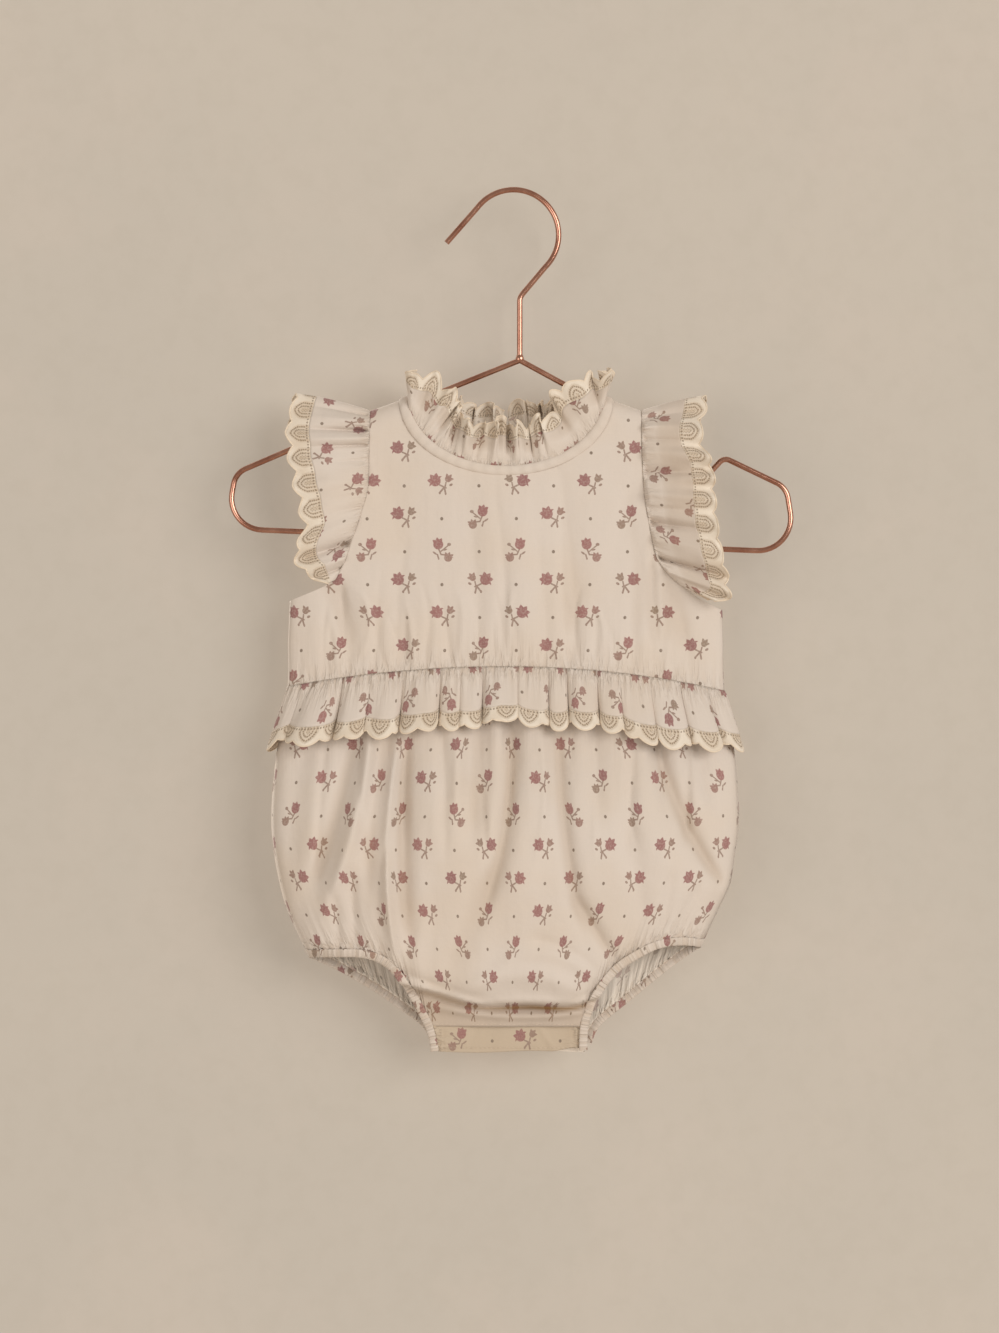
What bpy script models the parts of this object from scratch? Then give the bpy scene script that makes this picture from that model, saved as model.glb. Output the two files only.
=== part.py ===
# A baby romper hanging on a rose-gold wire hanger.
#
# The origin is the top of the inside of the hook, where a peg or rail carries it. +Z is up, the
# garment's front faces -Y, and +X is to the right of someone looking at the front. Sizes in this
# file are millimetres; they become metres where a mesh is made.
#
# Each cut piece of cloth is a grid laid over the garment's form and given a wall. Grid columns run
# along the piece's top edge and rows run down it, so that every outer face points outwards.

import math

import bmesh
import bpy
from mathutils import Vector

MM = 0.001
GAP = 0.3
EASE = 0.5
SEAM_EASE = 0.9
LACE_EASE = 1.4
CLOTH = 1.2
LACE = 1.0
BAND = 1.6
TAU = 2 * math.pi

# Hanger
WIRE_RADIUS = 1.5
HOOK_RADIUS = 24.3
HOOK_CENTRE = (0.8, -22.8)
HOOK_TIP = (-35.2, -27.1)
HOOK_START = 143
HOOK_SWEEP = 188
HOOK_CELLS = 15
BEND_REACH = 0.9
STEM_BEND = (4.2, -56.4)
STEM_FOOT = -88.7
FRAME_COLUMNS = ("name", "x", "z", "radius")
FRAME_CORNERS = (
    ("weld", 4.2, -90.2, 1.5),
    ("right shoulder", 86.0, -134.6, 6.0),
    ("right notch", 99.5, -158.0, 5.0),
    ("right crest", 114.0, -142.5, 4.5),
    ("right upper end", 147.5, -158.6, 11.0),
    ("right lower end", 153.0, -193.4, 17.5),
    ("left lower end", -154.0, -180.6, 17.0),
    ("left upper end", -148.5, -150.8, 11.0),
    ("left crest", -107.0, -133.0, 4.5),
    ("left notch", -94.5, -149.0, 5.0),
    ("left shoulder", -80.5, -124.4, 6.0),
)

CORNER_STEP = 0.42

# Sections of the garment's body. left and right are the side seams' x, seam is the side seams' y,
# and front and back are how far each panel stands off them.
SECTION_POWER = 2.6
SECTION_COLUMNS = ("name", "z", "left", "right", "seam", "front", "back")
SECTIONS = (
    ("shoulder", -108.0, -119.0, 112.6, -1.0, 10.5, 8.0),
    ("armpit", -215.0, -119.3, 112.9, -1.0, 11.5, 8.5),
    ("rib", -240.0, -120.2, 113.5, -1.2, 12.0, 9.0),
    ("waist", -267.0, -120.6, 114.1, -1.5, 13.5, 9.8),
    ("peplum hem", -300.0, -126.2, 119.4, -3.0, 20.0, 13.5),
    ("high hip", -322.0, -128.5, 121.2, -4.5, 26.0, 16.0),
    ("hip", -340.0, -129.0, 121.6, -5.5, 29.0, 17.5),
    ("low hip", -356.0, -127.4, 119.4, -6.0, 30.0, 18.0),
    ("seat", -371.0, -124.6, 117.0, -6.0, 29.0, 17.5),
    ("thigh", -385.0, -120.6, 110.6, -6.0, 26.5, 16.0),
    ("leg top", -404.0, -112.0, 101.8, -6.0, 23.0, 13.5),
    ("leg", -420.0, -104.0, 95.0, -6.0, 20.0, 11.0),
    ("puff", -428.0, -100.0, 91.0, -6.0, 17.5, 9.5),
    ("crease", -434.0, -97.0, 88.0, -6.0, 11.0, 8.0),
    ("band top", -439.0, -94.0, 86.0, -6.0, 4.4, 6.5),
    ("band", -448.0, -90.0, 84.0, -6.0, 3.0, 4.0),
    ("crotch", -462.0, -84.0, 80.0, -6.0, 2.0, 2.4),
)

# Neck and shoulders
CENTRE_X = -3.2
NECK_HALF = 57.0
NECK_POINT_Z = -111.9
SHOULDER_SLOPE = 0.352
SHOULDER_ROLL = 12.0
FRONT_NECK_Z = -152.4
BACK_NECK_Z = -138.5
BINDING_WIDTH = 4.8
BACK_SLIT = 0.004
NECK_FRONT_CELLS = 26
NECK_BACK_CELLS = 12
SHOULDER_CELLS = 3

# Rows close under the shoulder seam, and how far a wall turns in along a seam
SHOULDER_ROWS = (1.6, 5.0, 11.0)
SHOULDER_RUN = 24
TURN = 1.3
TURN_SHARE = 0.3
ARMHOLE_CELLS = 5
SIDE_CELLS = 3

# Armholes, from the shoulder tip down to the top of the side seam
LEFT_ARMHOLE = ((-76.3, -117.6), (-76.8, -142.0), (-77.4, -160.0), (-80.6, -172.0),
                (-85.5, -186.5), (-90.0, -199.5), (-95.0, -208.5))
LEFT_UNDERARM = ((-95.0, -208.5), (-104.0, -213.4), (-119.3, -219.5))
RIGHT_ARMHOLE = ((69.6, -117.5), (69.8, -142.0), (71.4, -165.0), (74.2, -182.0),
                 (77.5, -196.0), (83.0, -204.5), (90.9, -211.4))
RIGHT_UNDERARM = ((90.9, -211.4), (100.0, -218.4), (112.9, -224.6))

# The waist seam arches up in the middle
WAIST_Z = -255.2
WAIST_SIDE_Z = -267.0
LEFT_WAIST_ARCH = 0.00078
RIGHT_WAIST_ARCH = 0.00095

# Leg openings, from the side seam in to the crotch, on the casing's free edge
CASING_WIDTH = 4.4
LEG_CELLS = 16
LEFT_LEG_FRONT = ((-109.0, -410.6), (-97.8, -409.8), (-79.0, -409.9), (-66.7, -415.2),
                  (-57.0, -428.0), (-49.5, -442.0), (-45.3, -451.5), (-43.6, -461.2))
LEFT_LEG_BACK = ((-109.0, -410.8), (-92.5, -418.8), (-75.3, -428.7), (-59.5, -439.5),
                 (-47.0, -449.5), (-43.4, -460.6))
RIGHT_LEG_FRONT = ((101.4, -405.0), (92.0, -403.4), (80.5, -404.2), (70.5, -408.2),
                   (57.0, -417.0), (46.5, -431.0), (41.2, -446.0), (40.4, -460.2))
RIGHT_LEG_BACK = ((101.4, -405.4), (92.5, -411.4), (80.0, -421.0), (63.5, -434.5),
                  (47.5, -447.5), (42.6, -457.4))
CROTCH_SEAM_Z = -447.4
FRONT_BOTTOM_CELLS = (17, 10)
BACK_BOTTOM_CELLS = (11, 8)
CREASE_COLUMNS = ("x", "z", "rise", "section_z", "from_z", "run")
CREASE = dict(zip(CREASE_COLUMNS, (8.0, -437.0, 0.0026, -434.0, -398.0, 24.0)))

# Crotch placket: two layers closed by press studs
PLACKET_TOP = -447.7
PLACKET_FOOT = -461.2
PLACKET_FRONT_Y = -8.9
PLACKET_BACK_Y = -2.4
STUD_XS = (-27.0, -1.5, 24.0)
STUD_RADIUS = 4.0
PLACKET_CELLS = 14
PLACKET_HEM_WAVE = 0.5
PLACKET_HEM_TURN = 0.9

# Folds: each runs through three points of a panel. A negative height is a trough.
FOLD_COLUMNS = ("name", "x0", "z0", "x1", "z1", "x2", "z2", "width", "height")
BODICE_FRONT_FOLDS = (
    ("gather 1", -73.0, -258.0, -72.8, -246.0, -72.0, -226.0, 4.5, -0.9),
    ("gather 2", -57.5, -257.0, -57.5, -248.0, -57.0, -236.0, 4.5, -0.8),
    ("gather 3", -33.5, -255.5, -34.0, -245.0, -35.5, -232.0, 4.5, -1.2),
    ("gather 4", -16.5, -255.0, -17.5, -240.0, -19.0, -208.0, 6.0, -1.0),
    ("gather 5", -10.0, -255.0, -10.0, -245.0, -9.0, -234.0, 4.5, -0.7),
    ("gather 6", 18.0, -255.0, 18.2, -242.0, 17.0, -215.0, 6.0, -0.9),
    ("gather 7", 33.0, -256.0, 33.4, -235.0, 31.0, -188.0, 6.5, -1.1),
    ("gather 8", 43.0, -257.0, 44.5, -246.0, 45.0, -234.0, 4.5, -0.7),
    ("gather 9", 62.5, -260.0, 66.0, -240.0, 66.5, -205.0, 6.0, -1.1),
    ("gather 10", 76.0, -263.0, 75.0, -243.0, 73.0, -222.0, 5.0, -1.1),
    ("gather 11", 99.0, -266.0, 95.5, -252.0, 93.0, -240.0, 5.5, -1.0),
    ("underarm left", -96.0, -214.0, -88.0, -232.0, -84.0, -250.0, 9.0, -1.2),
    ("underarm right", 84.0, -212.0, 88.0, -228.0, 90.0, -246.0, 8.0, -1.2),
    ("centre swell", -2.0, -170.0, 0.0, -205.0, 2.0, -245.0, 20.0, 1.4),
)
BODICE_BACK_FOLDS = (
    ("back gather 1", -88.0, -262.0, -87.0, -246.0, -85.0, -226.0, 5.5, 1.0),
    ("back gather 2", -62.0, -259.0, -63.0, -240.0, -64.0, -208.0, 6.5, 1.1),
    ("back gather 3", -38.0, -257.0, -38.0, -246.0, -37.0, -232.0, 5.0, 0.8),
    ("back gather 4", -20.0, -256.0, -21.0, -236.0, -22.0, -200.0, 6.5, 1.2),
    ("back gather 5", 16.0, -256.0, 15.0, -242.0, 14.0, -218.0, 5.5, 0.9),
    ("back gather 6", 37.0, -257.0, 38.0, -236.0, 40.0, -205.0, 6.5, 1.2),
    ("back gather 7", 60.0, -260.0, 60.0, -246.0, 61.0, -230.0, 5.0, 0.9),
    ("back gather 8", 84.0, -264.0, 82.0, -246.0, 79.0, -224.0, 6.0, 1.1),
)
BOTTOM_FRONT_FOLDS = (
    ("ridge a", -74.0, -272.0, -80.0, -310.0, -95.0, -374.0, 5.5, 3.4),
    ("trough a", -84.0, -290.0, -92.0, -325.0, -104.0, -368.0, 6.5, -2.4),
    ("trough between", -70.0, -290.0, -74.0, -330.0, -76.0, -372.0, 5.5, -1.8),
    ("ridge b", -62.0, -304.0, -66.5, -336.0, -63.0, -402.0, 4.5, 3.2),
    ("trough b", -57.0, -300.0, -57.5, -342.0, -56.0, -392.0, 7.0, -3.0),
    ("ridge c", -34.0, -272.0, -34.0, -310.0, -36.0, -350.0, 11.0, 1.6),
    ("trough c", -19.0, -268.0, -20.0, -305.0, -21.0, -340.0, 5.5, -2.2),
    ("ridge d", -10.0, -270.0, -10.0, -305.0, -12.0, -345.0, 5.0, 1.2),
    ("trough d", -1.6, -268.0, -1.2, -325.0, -12.0, -376.0, 5.0, -2.8),
    ("ridge e", 10.0, -270.0, 10.0, -320.0, 6.0, -372.0, 9.0, 1.4),
    ("trough f", 24.0, -268.0, 26.3, -325.0, 35.0, -384.0, 5.5, -2.6),
    ("trough g", 43.0, -270.0, 44.0, -300.0, 45.0, -330.0, 5.0, -1.4),
    ("ridge h", 66.0, -274.0, 68.0, -310.0, 76.0, -352.0, 10.0, 1.8),
    ("trough h", 77.0, -280.0, 86.0, -330.0, 110.0, -368.0, 6.5, -3.2),
    ("trough i", 95.0, -280.0, 100.0, -305.0, 106.0, -326.0, 5.5, -1.6),
    ("trough j", 36.0, -380.0, 45.0, -397.0, 54.0, -411.0, 5.5, -2.2),
    ("trough k", -16.0, -366.0, -22.0, -390.0, -31.0, -414.0, 8.0, -1.4),
    ("trough l", -84.5, -366.0, -84.0, -385.0, -83.0, -403.0, 4.5, -1.8),
    ("sag", -24.0, -426.0, 2.0, -418.0, 30.0, -424.0, 6.0, 1.8),
)
BOTTOM_BACK_FOLDS = (
    ("back a", -92.0, -272.0, -96.0, -315.0, -104.0, -366.0, 6.5, 2.4),
    ("back b", -70.0, -270.0, -72.0, -320.0, -74.0, -388.0, 6.0, -2.0),
    ("back c", -52.0, -268.0, -54.0, -312.0, -56.0, -350.0, 7.0, 2.2),
    ("back d", -30.0, -268.0, -31.0, -325.0, -36.0, -384.0, 6.0, -2.2),
    ("back e", -12.0, -268.0, -11.0, -310.0, -14.0, -352.0, 7.0, 1.8),
    ("back f", 6.0, -268.0, 8.0, -330.0, 4.0, -396.0, 6.0, -2.2),
    ("back g", 28.0, -268.0, 29.0, -315.0, 33.0, -360.0, 7.0, 2.2),
    ("back h", 50.0, -270.0, 52.0, -322.0, 54.0, -384.0, 6.0, -2.2),
    ("back i", 72.0, -272.0, 76.0, -318.0, 86.0, -362.0, 7.0, 2.4),
    ("back j", 92.0, -276.0, 96.0, -310.0, 101.0, -340.0, 6.0, -1.8),
)

# Folds flatten towards the waist seam, to the least share of their height, and at the side seams
FADE_COLUMNS = ("bottom_z", "bodice_z", "least", "run", "side")
FADE = dict(zip(FADE_COLUMNS, (-259.2, -267.2, 0.35, 22.0, 0.07)))

# Gathered strips: waves are counted from end to end, and depth is a wave's size at the free edge.
# Positions along a strip drift by its unevenness so that no two waves match.
PEPLUM_LENGTH = 23.2
PEPLUM_LACE = 9.4
PEPLUM_WAVES = 17
PEPLUM_ROOT = 2.9
PEPLUM_FLARE = 3.4
PEPLUM_DEPTH = 3.4
PEPLUM_SCALLOPS = 19
SCALLOP_DEPTH = 2.8
NECK_WAVES = 19
NECK_DEPTH = 3.6
NECK_SCALLOPS = 22
NECK_LACE_SHARE = 0.38
NECK_FRONT_HEIGHT = 24.0
NECK_SIDE_HEIGHT = 14.0
NECK_BACK_HEIGHT = 21.0
NECK_COLUMNS = 96
NECK_UPRIGHT = 0.35
NECK_LEAN_COLUMNS = ("side", "back", "front")
NECK_LEAN = dict(zip(NECK_LEAN_COLUMNS, (-0.30, 0.30, 0.06)))
NECK_SCALLOP_SHARE = 0.13
PEPLUM_FRONT_COLUMNS = 82
PEPLUM_BACK_COLUMNS = 60
ROOT_WAVE = 0.4
UNEVENNESS = 0.34

# Flutter sleeves. Each row is a place on the outer lace edge, from the front's lower end up over
# the shoulder fold. share is how far along the armhole it lies.
SLEEVE_COLUMNS = ("share", "x", "y", "z")
LEFT_SLEEVE_EDGE = (
    (0.00, -99.0, -9.5, -210.6),
    (0.06, -110.0, -11.0, -206.0),
    (0.12, -116.8, -12.0, -196.5),
    (0.19, -112.2, -14.0, -181.5),
    (0.27, -115.0, -14.5, -165.0),
    (0.34, -118.5, -13.5, -149.0),
    (0.41, -120.8, -10.5, -132.0),
    (0.46, -119.6, -6.0, -117.0),
    (0.50, -116.6, -1.0, -108.2),
)
RIGHT_SLEEVE_EDGE = (
    (0.00, 110.0, -9.0, -221.0),
    (0.06, 116.8, -10.5, -216.5),
    (0.13, 113.6, -13.0, -199.0),
    (0.20, 110.2, -14.5, -180.0),
    (0.27, 108.8, -12.0, -163.0),
    (0.34, 107.4, -13.5, -148.0),
    (0.41, 101.6, -11.0, -133.0),
    (0.46, 103.6, -6.5, -118.0),
    (0.50, 105.4, -1.0, -109.6),
)
SLEEVE_LACE = 12.4
SLEEVE_SCALLOPS = 16
SLEEVE_CELLS = 54
SLEEVE_CROWN = 2.6
SLEEVE_BACK_COLUMNS = ("drawn_in", "depth", "offset")
SLEEVE_BACK = dict(zip(SLEEVE_BACK_COLUMNS, (2.5, -0.75, -0.8)))
SLEEVE_FOLD_COLUMNS = ("name", "share", "reach", "width", "height")
LEFT_SLEEVE_FOLDS = (
    ("pleat 1", 0.470, 0.85, 0.012, 3.2),
    ("pleat 2", 0.425, 0.80, 0.012, 3.4),
    ("pleat 3", 0.385, 0.60, 0.011, 2.4),
    ("swell", 0.280, 1.00, 0.050, 2.4),
    ("lower fold", 0.115, 1.00, 0.022, -2.6),
)
RIGHT_SLEEVE_FOLDS = (
    ("pleat 1", 0.455, 0.60, 0.014, 2.2),
    ("valley 1", 0.330, 1.00, 0.020, -3.0),
    ("swell", 0.265, 1.00, 0.030, 2.0),
    ("valley 2", 0.180, 1.00, 0.018, -3.2),
    ("valley 3", 0.090, 1.00, 0.016, -2.6),
)

# Button and thread loop at the back of the neck
BUTTON_RADIUS = 4.5
BUTTON_THICK = 2.2
BUTTON_Z = -144.6
BUTTON_OFFSET = 6.2
LOOP_WIRE = 0.5
LOOP_ROOT = 3.0
LOOP_START = 20
LOOP_SWEEP = 320
LOOP_CELLS = 12
LOOP_SPREAD = 1.4

# Colours: base colour, roughness, metallic
PRINTED_COTTON = ((0.80, 0.70, 0.58, 1), 0.85, 0.0)
PLAIN_COTTON = ((0.78, 0.66, 0.52, 1), 0.85, 0.0)
COTTON_LACE = ((0.74, 0.62, 0.44, 1), 0.9, 0.0)
ROSE_GOLD = ((0.72, 0.38, 0.27, 1), 0.25, 1.0)
STEEL = ((0.62, 0.60, 0.57, 1), 0.35, 1.0)
SHELL_BUTTON = ((0.82, 0.76, 0.68, 1), 0.3, 0.0)


# --- tables and curves ---

def column_at(z, column):
    """A section column at height z, on a smooth curve through the sections."""
    index = SECTION_COLUMNS.index(column)
    heights = [row[1] for row in SECTIONS]
    values = [row[index] for row in SECTIONS]
    z = min(max(z, heights[-1]), heights[0])
    last = len(heights) - 2
    i = next((k for k in range(last) if z >= heights[k + 1]), last)
    span = heights[i + 1] - heights[i]

    def slope(k):
        low = max(k - 1, 0)
        high = min(k + 1, len(heights) - 1)
        return (values[high] - values[low]) / (heights[high] - heights[low]) * span

    t = (z - heights[i]) / span
    rise = values[i + 1] - values[i]
    return (values[i] + slope(i) * t + (3 * rise - 2 * slope(i) - slope(i + 1)) * t * t
            + (slope(i) + slope(i + 1) - 2 * rise) * t ** 3)


def smooth_run(points, steps=10):
    """Points along a smooth curve through the given ones."""
    run = []
    for i in range(len(points) - 1):
        before = points[max(i - 1, 0)]
        start, end = points[i], points[i + 1]
        after = points[min(i + 2, len(points) - 1)]
        for k in range(steps):
            t = k / steps
            run.append(tuple(
                0.5 * (2 * b + (c - a) * t + (2 * a - 5 * b + 4 * c - d) * t * t
                       + (3 * b - a - 3 * c + d) * t ** 3)
                for a, b, c, d in zip(before, start, end, after)))
    run.append(tuple(points[-1]))
    return run


def spaced(run, cells):
    """cells + 1 points evenly spaced along a run of points."""
    lengths = [0.0]
    for a, b in zip(run, run[1:]):
        lengths.append(lengths[-1] + math.dist(a, b))
    result = []
    i = 0
    for k in range(cells + 1):
        wanted = lengths[-1] * k / cells
        while i < len(run) - 2 and lengths[i + 1] < wanted:
            i += 1
        t = (wanted - lengths[i]) / max(lengths[i + 1] - lengths[i], 1e-9)
        result.append(tuple(a + (b - a) * t for a, b in zip(run[i], run[i + 1])))
    return result


def eased(t):
    t = min(max(t, 0.0), 1.0)
    return t * t * (3 - 2 * t)


def wave_phase(share, waves):
    """The angle of a gathered strip's wave at a share of its length."""
    drift = UNEVENNESS * (math.sin(TAU * 2.3 * share + 0.7) + 0.6 * math.sin(TAU * 5.1 * share + 2.0))
    return TAU * waves * share + TAU * drift


# --- the garment's form ---

def shoulder_z(off_centre):
    return NECK_POINT_Z - (abs(off_centre) - NECK_HALF) * SHOULDER_SLOPE


def roundness(share):
    share = min(abs(share), 1.0)
    return (1 - share ** SECTION_POWER) ** (1 / SECTION_POWER)


def across(x, z):
    """Where x lies between the side seams: -1 at the left one, 1 at the right one."""
    left, right = column_at(z, "left"), column_at(z, "right")
    return (2 * x - left - right) / (right - left)


def over_shoulder(x, z):
    """How much of its full depth the cloth has this far below the shoulder seam."""
    below = (shoulder_z(x - CENTRE_X) - z) / SHOULDER_ROLL
    return math.sqrt(max(1 - (1 - min(max(below, 0), 1)) ** 2, 0))


def fold_height(folds, x, z):
    total = 0.0
    for row in folds:
        fold = dict(zip(FOLD_COLUMNS, row))
        ends = ((fold["x0"], fold["z0"]), (fold["x1"], fold["z1"]), (fold["x2"], fold["z2"]))
        top, foot = ends[0][1], ends[2][1]
        if abs(top - foot) < abs(ends[0][0] - ends[2][0]):
            along = (x - ends[0][0]) / (ends[2][0] - ends[0][0])
            away = z - quadratic(along, *(end[1] for end in ends))
        else:
            along = (z - top) / (foot - top)
            away = x - quadratic(along, *(end[0] for end in ends))
        if -0.25 < along < 1.25:
            fade = eased((along + 0.25) / 0.4) * eased((1.25 - along) / 0.4)
            total += fold["height"] * fade * math.exp(-(away / fold["width"]) ** 2)
    return total


def quadratic(t, start, middle, end):
    return (2 * (t - 0.5) * (t - 1) * start - 4 * t * (t - 1) * middle + 2 * t * (t - 0.5) * end)


def seam_fade(x, z, rows):
    """Folds flatten out at the waist seam and at the side seams."""
    below = FADE["bottom_z"] - z if rows == "bottom" else z - FADE["bodice_z"]
    rest = 1 - FADE["least"]
    return ((FADE["least"] + rest * eased(abs(below) / FADE["run"]))
            * eased((1 - abs(across(x, z))) / FADE["side"]))


def crease_shift(x, z):
    """The crease above the crotch band bows, lowest a little right of the middle."""
    low = CREASE["z"] + CREASE["rise"] * (x - CREASE["x"]) ** 2
    return (CREASE["section_z"] - low) * eased((CREASE["from_z"] - z) / CREASE["run"])


def front_y(x, z, folds=(), region="bodice"):
    depth = column_at(z + crease_shift(x, z), "front") * roundness(across(x, z)) * over_shoulder(x, z)
    out = fold_height(folds, x, z) * seam_fade(x, z, region) if folds else 0.0
    return column_at(z, "seam") - max(depth + out, GAP / 2)


def back_y(x, z, folds=(), region="bodice"):
    depth = column_at(z, "back") * roundness(across(x, z)) * over_shoulder(x, z)
    out = fold_height(folds, x, z) * seam_fade(x, z, region) if folds else 0.0
    return column_at(z, "seam") + max(depth + out, GAP / 2)


def waist_z(x):
    off = x - CENTRE_X
    return WAIST_Z - (LEFT_WAIST_ARCH if off < 0 else RIGHT_WAIST_ARCH) * off * off


def neck_point(inset, turn):
    """A point of the ring inset inside the neck seam. turn is 0 at the centre back, 0.25 at the
    left shoulder, 0.5 at the centre front and 0.75 at the right shoulder."""
    half = NECK_HALF - inset
    x = CENTRE_X - half * math.sin(TAU * turn)
    forward = -math.cos(TAU * turn)
    lowest = (FRONT_NECK_Z if forward > 0 else BACK_NECK_Z) + inset
    top = shoulder_z(half)
    z = top - (top - lowest) * abs(forward)
    return (x, front_y(x, z) if forward > 0 else back_y(x, z), z)


def neck_turns(inset, columns, start, end):
    """Turns of columns + 1 points evenly spaced round a neck ring."""
    steps = 600
    turns = [start + (end - start) * k / steps for k in range(steps + 1)]
    run = [neck_point(inset, turn) for turn in turns]
    lengths = [0.0]
    for a, b in zip(run, run[1:]):
        lengths.append(lengths[-1] + math.dist(a, b))
    result = []
    i = 0
    for k in range(columns + 1):
        wanted = lengths[-1] * k / columns
        while i < steps - 1 and lengths[i + 1] < wanted:
            i += 1
        t = (wanted - lengths[i]) / max(lengths[i + 1] - lengths[i], 1e-9)
        result.append(turns[i] + (turns[i + 1] - turns[i]) * t)
    return result


# --- making objects ---

def finish(name, look):
    colour, roughness_value, metallic = look
    material = bpy.data.materials.new(name)
    material.use_nodes = True
    shader = material.node_tree.nodes["Principled BSDF"]
    shader.inputs["Base Color"].default_value = colour
    shader.inputs["Roughness"].default_value = roughness_value
    shader.inputs["Metallic"].default_value = metallic
    return material


def add(obj, collection, look):
    obj.data.materials.append(finish(obj.name, look))
    collection.objects.link(obj)
    return obj


def cloth_piece(name, grid, collection, look, thickness=CLOTH, outward=0.0):
    """A wall over grid, which holds rows of points from the top down. outward is the share of the
    thickness that lies outside the points."""
    rows, columns = len(grid) - 1, len(grid[0]) - 1
    bm = bmesh.new()
    bmesh.ops.create_grid(bm, x_segments=columns, y_segments=rows, size=0.5)
    for vertex in bm.verts:
        column = round((vertex.co.x + 0.5) * columns)
        row = round((0.5 - vertex.co.y) * rows)
        vertex.co = Vector(grid[row][column]) * MM
    mesh = bpy.data.meshes.new(name)
    bm.to_mesh(mesh)
    bm.free()
    mesh.shade_smooth()
    obj = bpy.data.objects.new(name, mesh)
    wall = obj.modifiers.new("Wall", "SOLIDIFY")
    wall.thickness = thickness * MM
    wall.offset = 2 * outward - 1
    return add(obj, collection, look)


def wire_piece(name, path, collection, look, radius, closed=False):
    curve = bpy.data.curves.new(name, "CURVE")
    curve.dimensions = "3D"
    curve.bevel_depth = radius * MM
    curve.bevel_resolution = 2
    curve.use_fill_caps = True
    spline = curve.splines.new("POLY")
    spline.points.add(len(path) - 1)
    for point, place in zip(spline.points, path):
        point.co = (*(Vector(place) * MM), 1)
    spline.use_cyclic_u = closed
    return add(bpy.data.objects.new(name, curve), collection, look)


def length_shares(run):
    """How far along a run each of its points lies, from 0 to 1."""
    lengths = [0.0]
    for a, b in zip(run, run[1:]):
        lengths.append(lengths[-1] + math.dist(a, b))
    return [length / lengths[-1] for length in lengths]


def patch(top, bottom, left, right):
    """Rows of (x, z) points between four edges: a Coons patch. left and right give its corners."""
    rows, columns = len(left) - 1, len(top) - 1
    top = [left[0], *top[1:-1], right[0]]
    bottom = [left[-1], *bottom[1:-1], right[-1]]
    top_u, bottom_u = length_shares(top), length_shares(bottom)
    left_v, right_v = length_shares(left), length_shares(right)
    grid = []
    for i in range(rows + 1):
        row = []
        for j in range(columns + 1):
            middle = (left_v[i] + right_v[i]) / 2
            u = top_u[j] * (1 - middle) + bottom_u[j] * middle
            v = left_v[i] * (1 - u) + right_v[i] * u
            row.append(tuple(
                (1 - v) * top[j][k] + v * bottom[j][k] + (1 - u) * left[i][k] + u * right[i][k]
                - (1 - u) * ((1 - v) * left[0][k] + v * left[-1][k])
                - u * ((1 - v) * right[0][k] + v * right[-1][k])
                for k in (0, 1)))
        grid.append(row)
    return grid


def raised(grid, depth):
    """The (x, z) grid given the y that depth(x, z) returns."""
    return [[(x, depth(x, z), z) for x, z in row] for row in grid]


def reversed_rows(grid):
    return [row[::-1] for row in grid]


# --- the hanger ---

def fillet_path(corners):
    """A closed path in the plane y = 0 with each corner rounded."""
    path = []
    corners = [dict(zip(FRAME_COLUMNS, row)) for row in corners]
    count = len(corners)
    for i, corner in enumerate(corners):
        here = Vector((corner["x"], corner["z"]))
        before = Vector((corners[i - 1]["x"], corners[i - 1]["z"])) - here
        following = corners[(i + 1) % count]
        after = Vector((following["x"], following["z"])) - here
        half = before.angle(after) / 2
        reach = corner["radius"] / math.tan(half)
        start = here + before.normalized() * reach
        end = here + after.normalized() * reach
        steps = max(2, round((math.pi - 2 * half) / CORNER_STEP))
        for k in range(steps + 1):
            t = k / steps
            bend = (1 - t) ** 2 * start + t ** 2 * end
            weight = 2 * t * (1 - t) * math.sin(half)
            total = (1 - t) ** 2 + t ** 2 + weight
            point = (bend + weight * here) / total
            path.append((point.x, 0.0, point.y))
    return path


def make_hanger(collection):
    wire_piece("hanger_frame", fillet_path(FRAME_CORNERS), collection, ROSE_GOLD, WIRE_RADIUS, True)
    cx, cz = HOOK_CENTRE
    path = [(HOOK_TIP[0], 0, HOOK_TIP[1])]
    for k in range(HOOK_CELLS + 1):
        angle = math.radians(HOOK_START - HOOK_SWEEP * k / HOOK_CELLS)
        path.append((cx + HOOK_RADIUS * math.cos(angle), 0, cz + HOOK_RADIUS * math.sin(angle)))
    path.append((STEM_BEND[0] + BEND_REACH, 0, STEM_BEND[1] + BEND_REACH))
    path.append((STEM_BEND[0], 0, STEM_BEND[1] - BEND_REACH))
    path.append((STEM_BEND[0], 0, STEM_FOOT))
    wire_piece("hanger_hook", path, collection, ROSE_GOLD, WIRE_RADIUS)


# --- bodice ---

def side_edge(armhole, underarm, column):
    """The edge of a bodice panel from the shoulder tip down the armhole to the waist seam, with
    close rows where the cloth rolls over the shoulder."""
    hole = smooth_run(armhole)
    tip = armhole[0]
    marks = [tip] + [(tip[0] + (armhole[1][0] - tip[0]) * drop / SHOULDER_RUN, tip[1] - drop)
                     for drop in SHOULDER_ROWS]
    below = [point for point in hole if point[1] < marks[-1][1] - 1]
    start = underarm[-1][1]
    foot = waist_z(column_at(WAIST_SIDE_Z, column))
    heights = [start + (foot - start) * k / SIDE_CELLS for k in range(1, SIDE_CELLS + 1)]
    under = spaced(smooth_run(underarm), 2)
    under[-1] = (column_at(start, column), start)
    return (marks + spaced([marks[-1]] + below, ARMHOLE_CELLS)[1:] + under[1:]
            + [(column_at(z, column), z) for z in heights])


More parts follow.
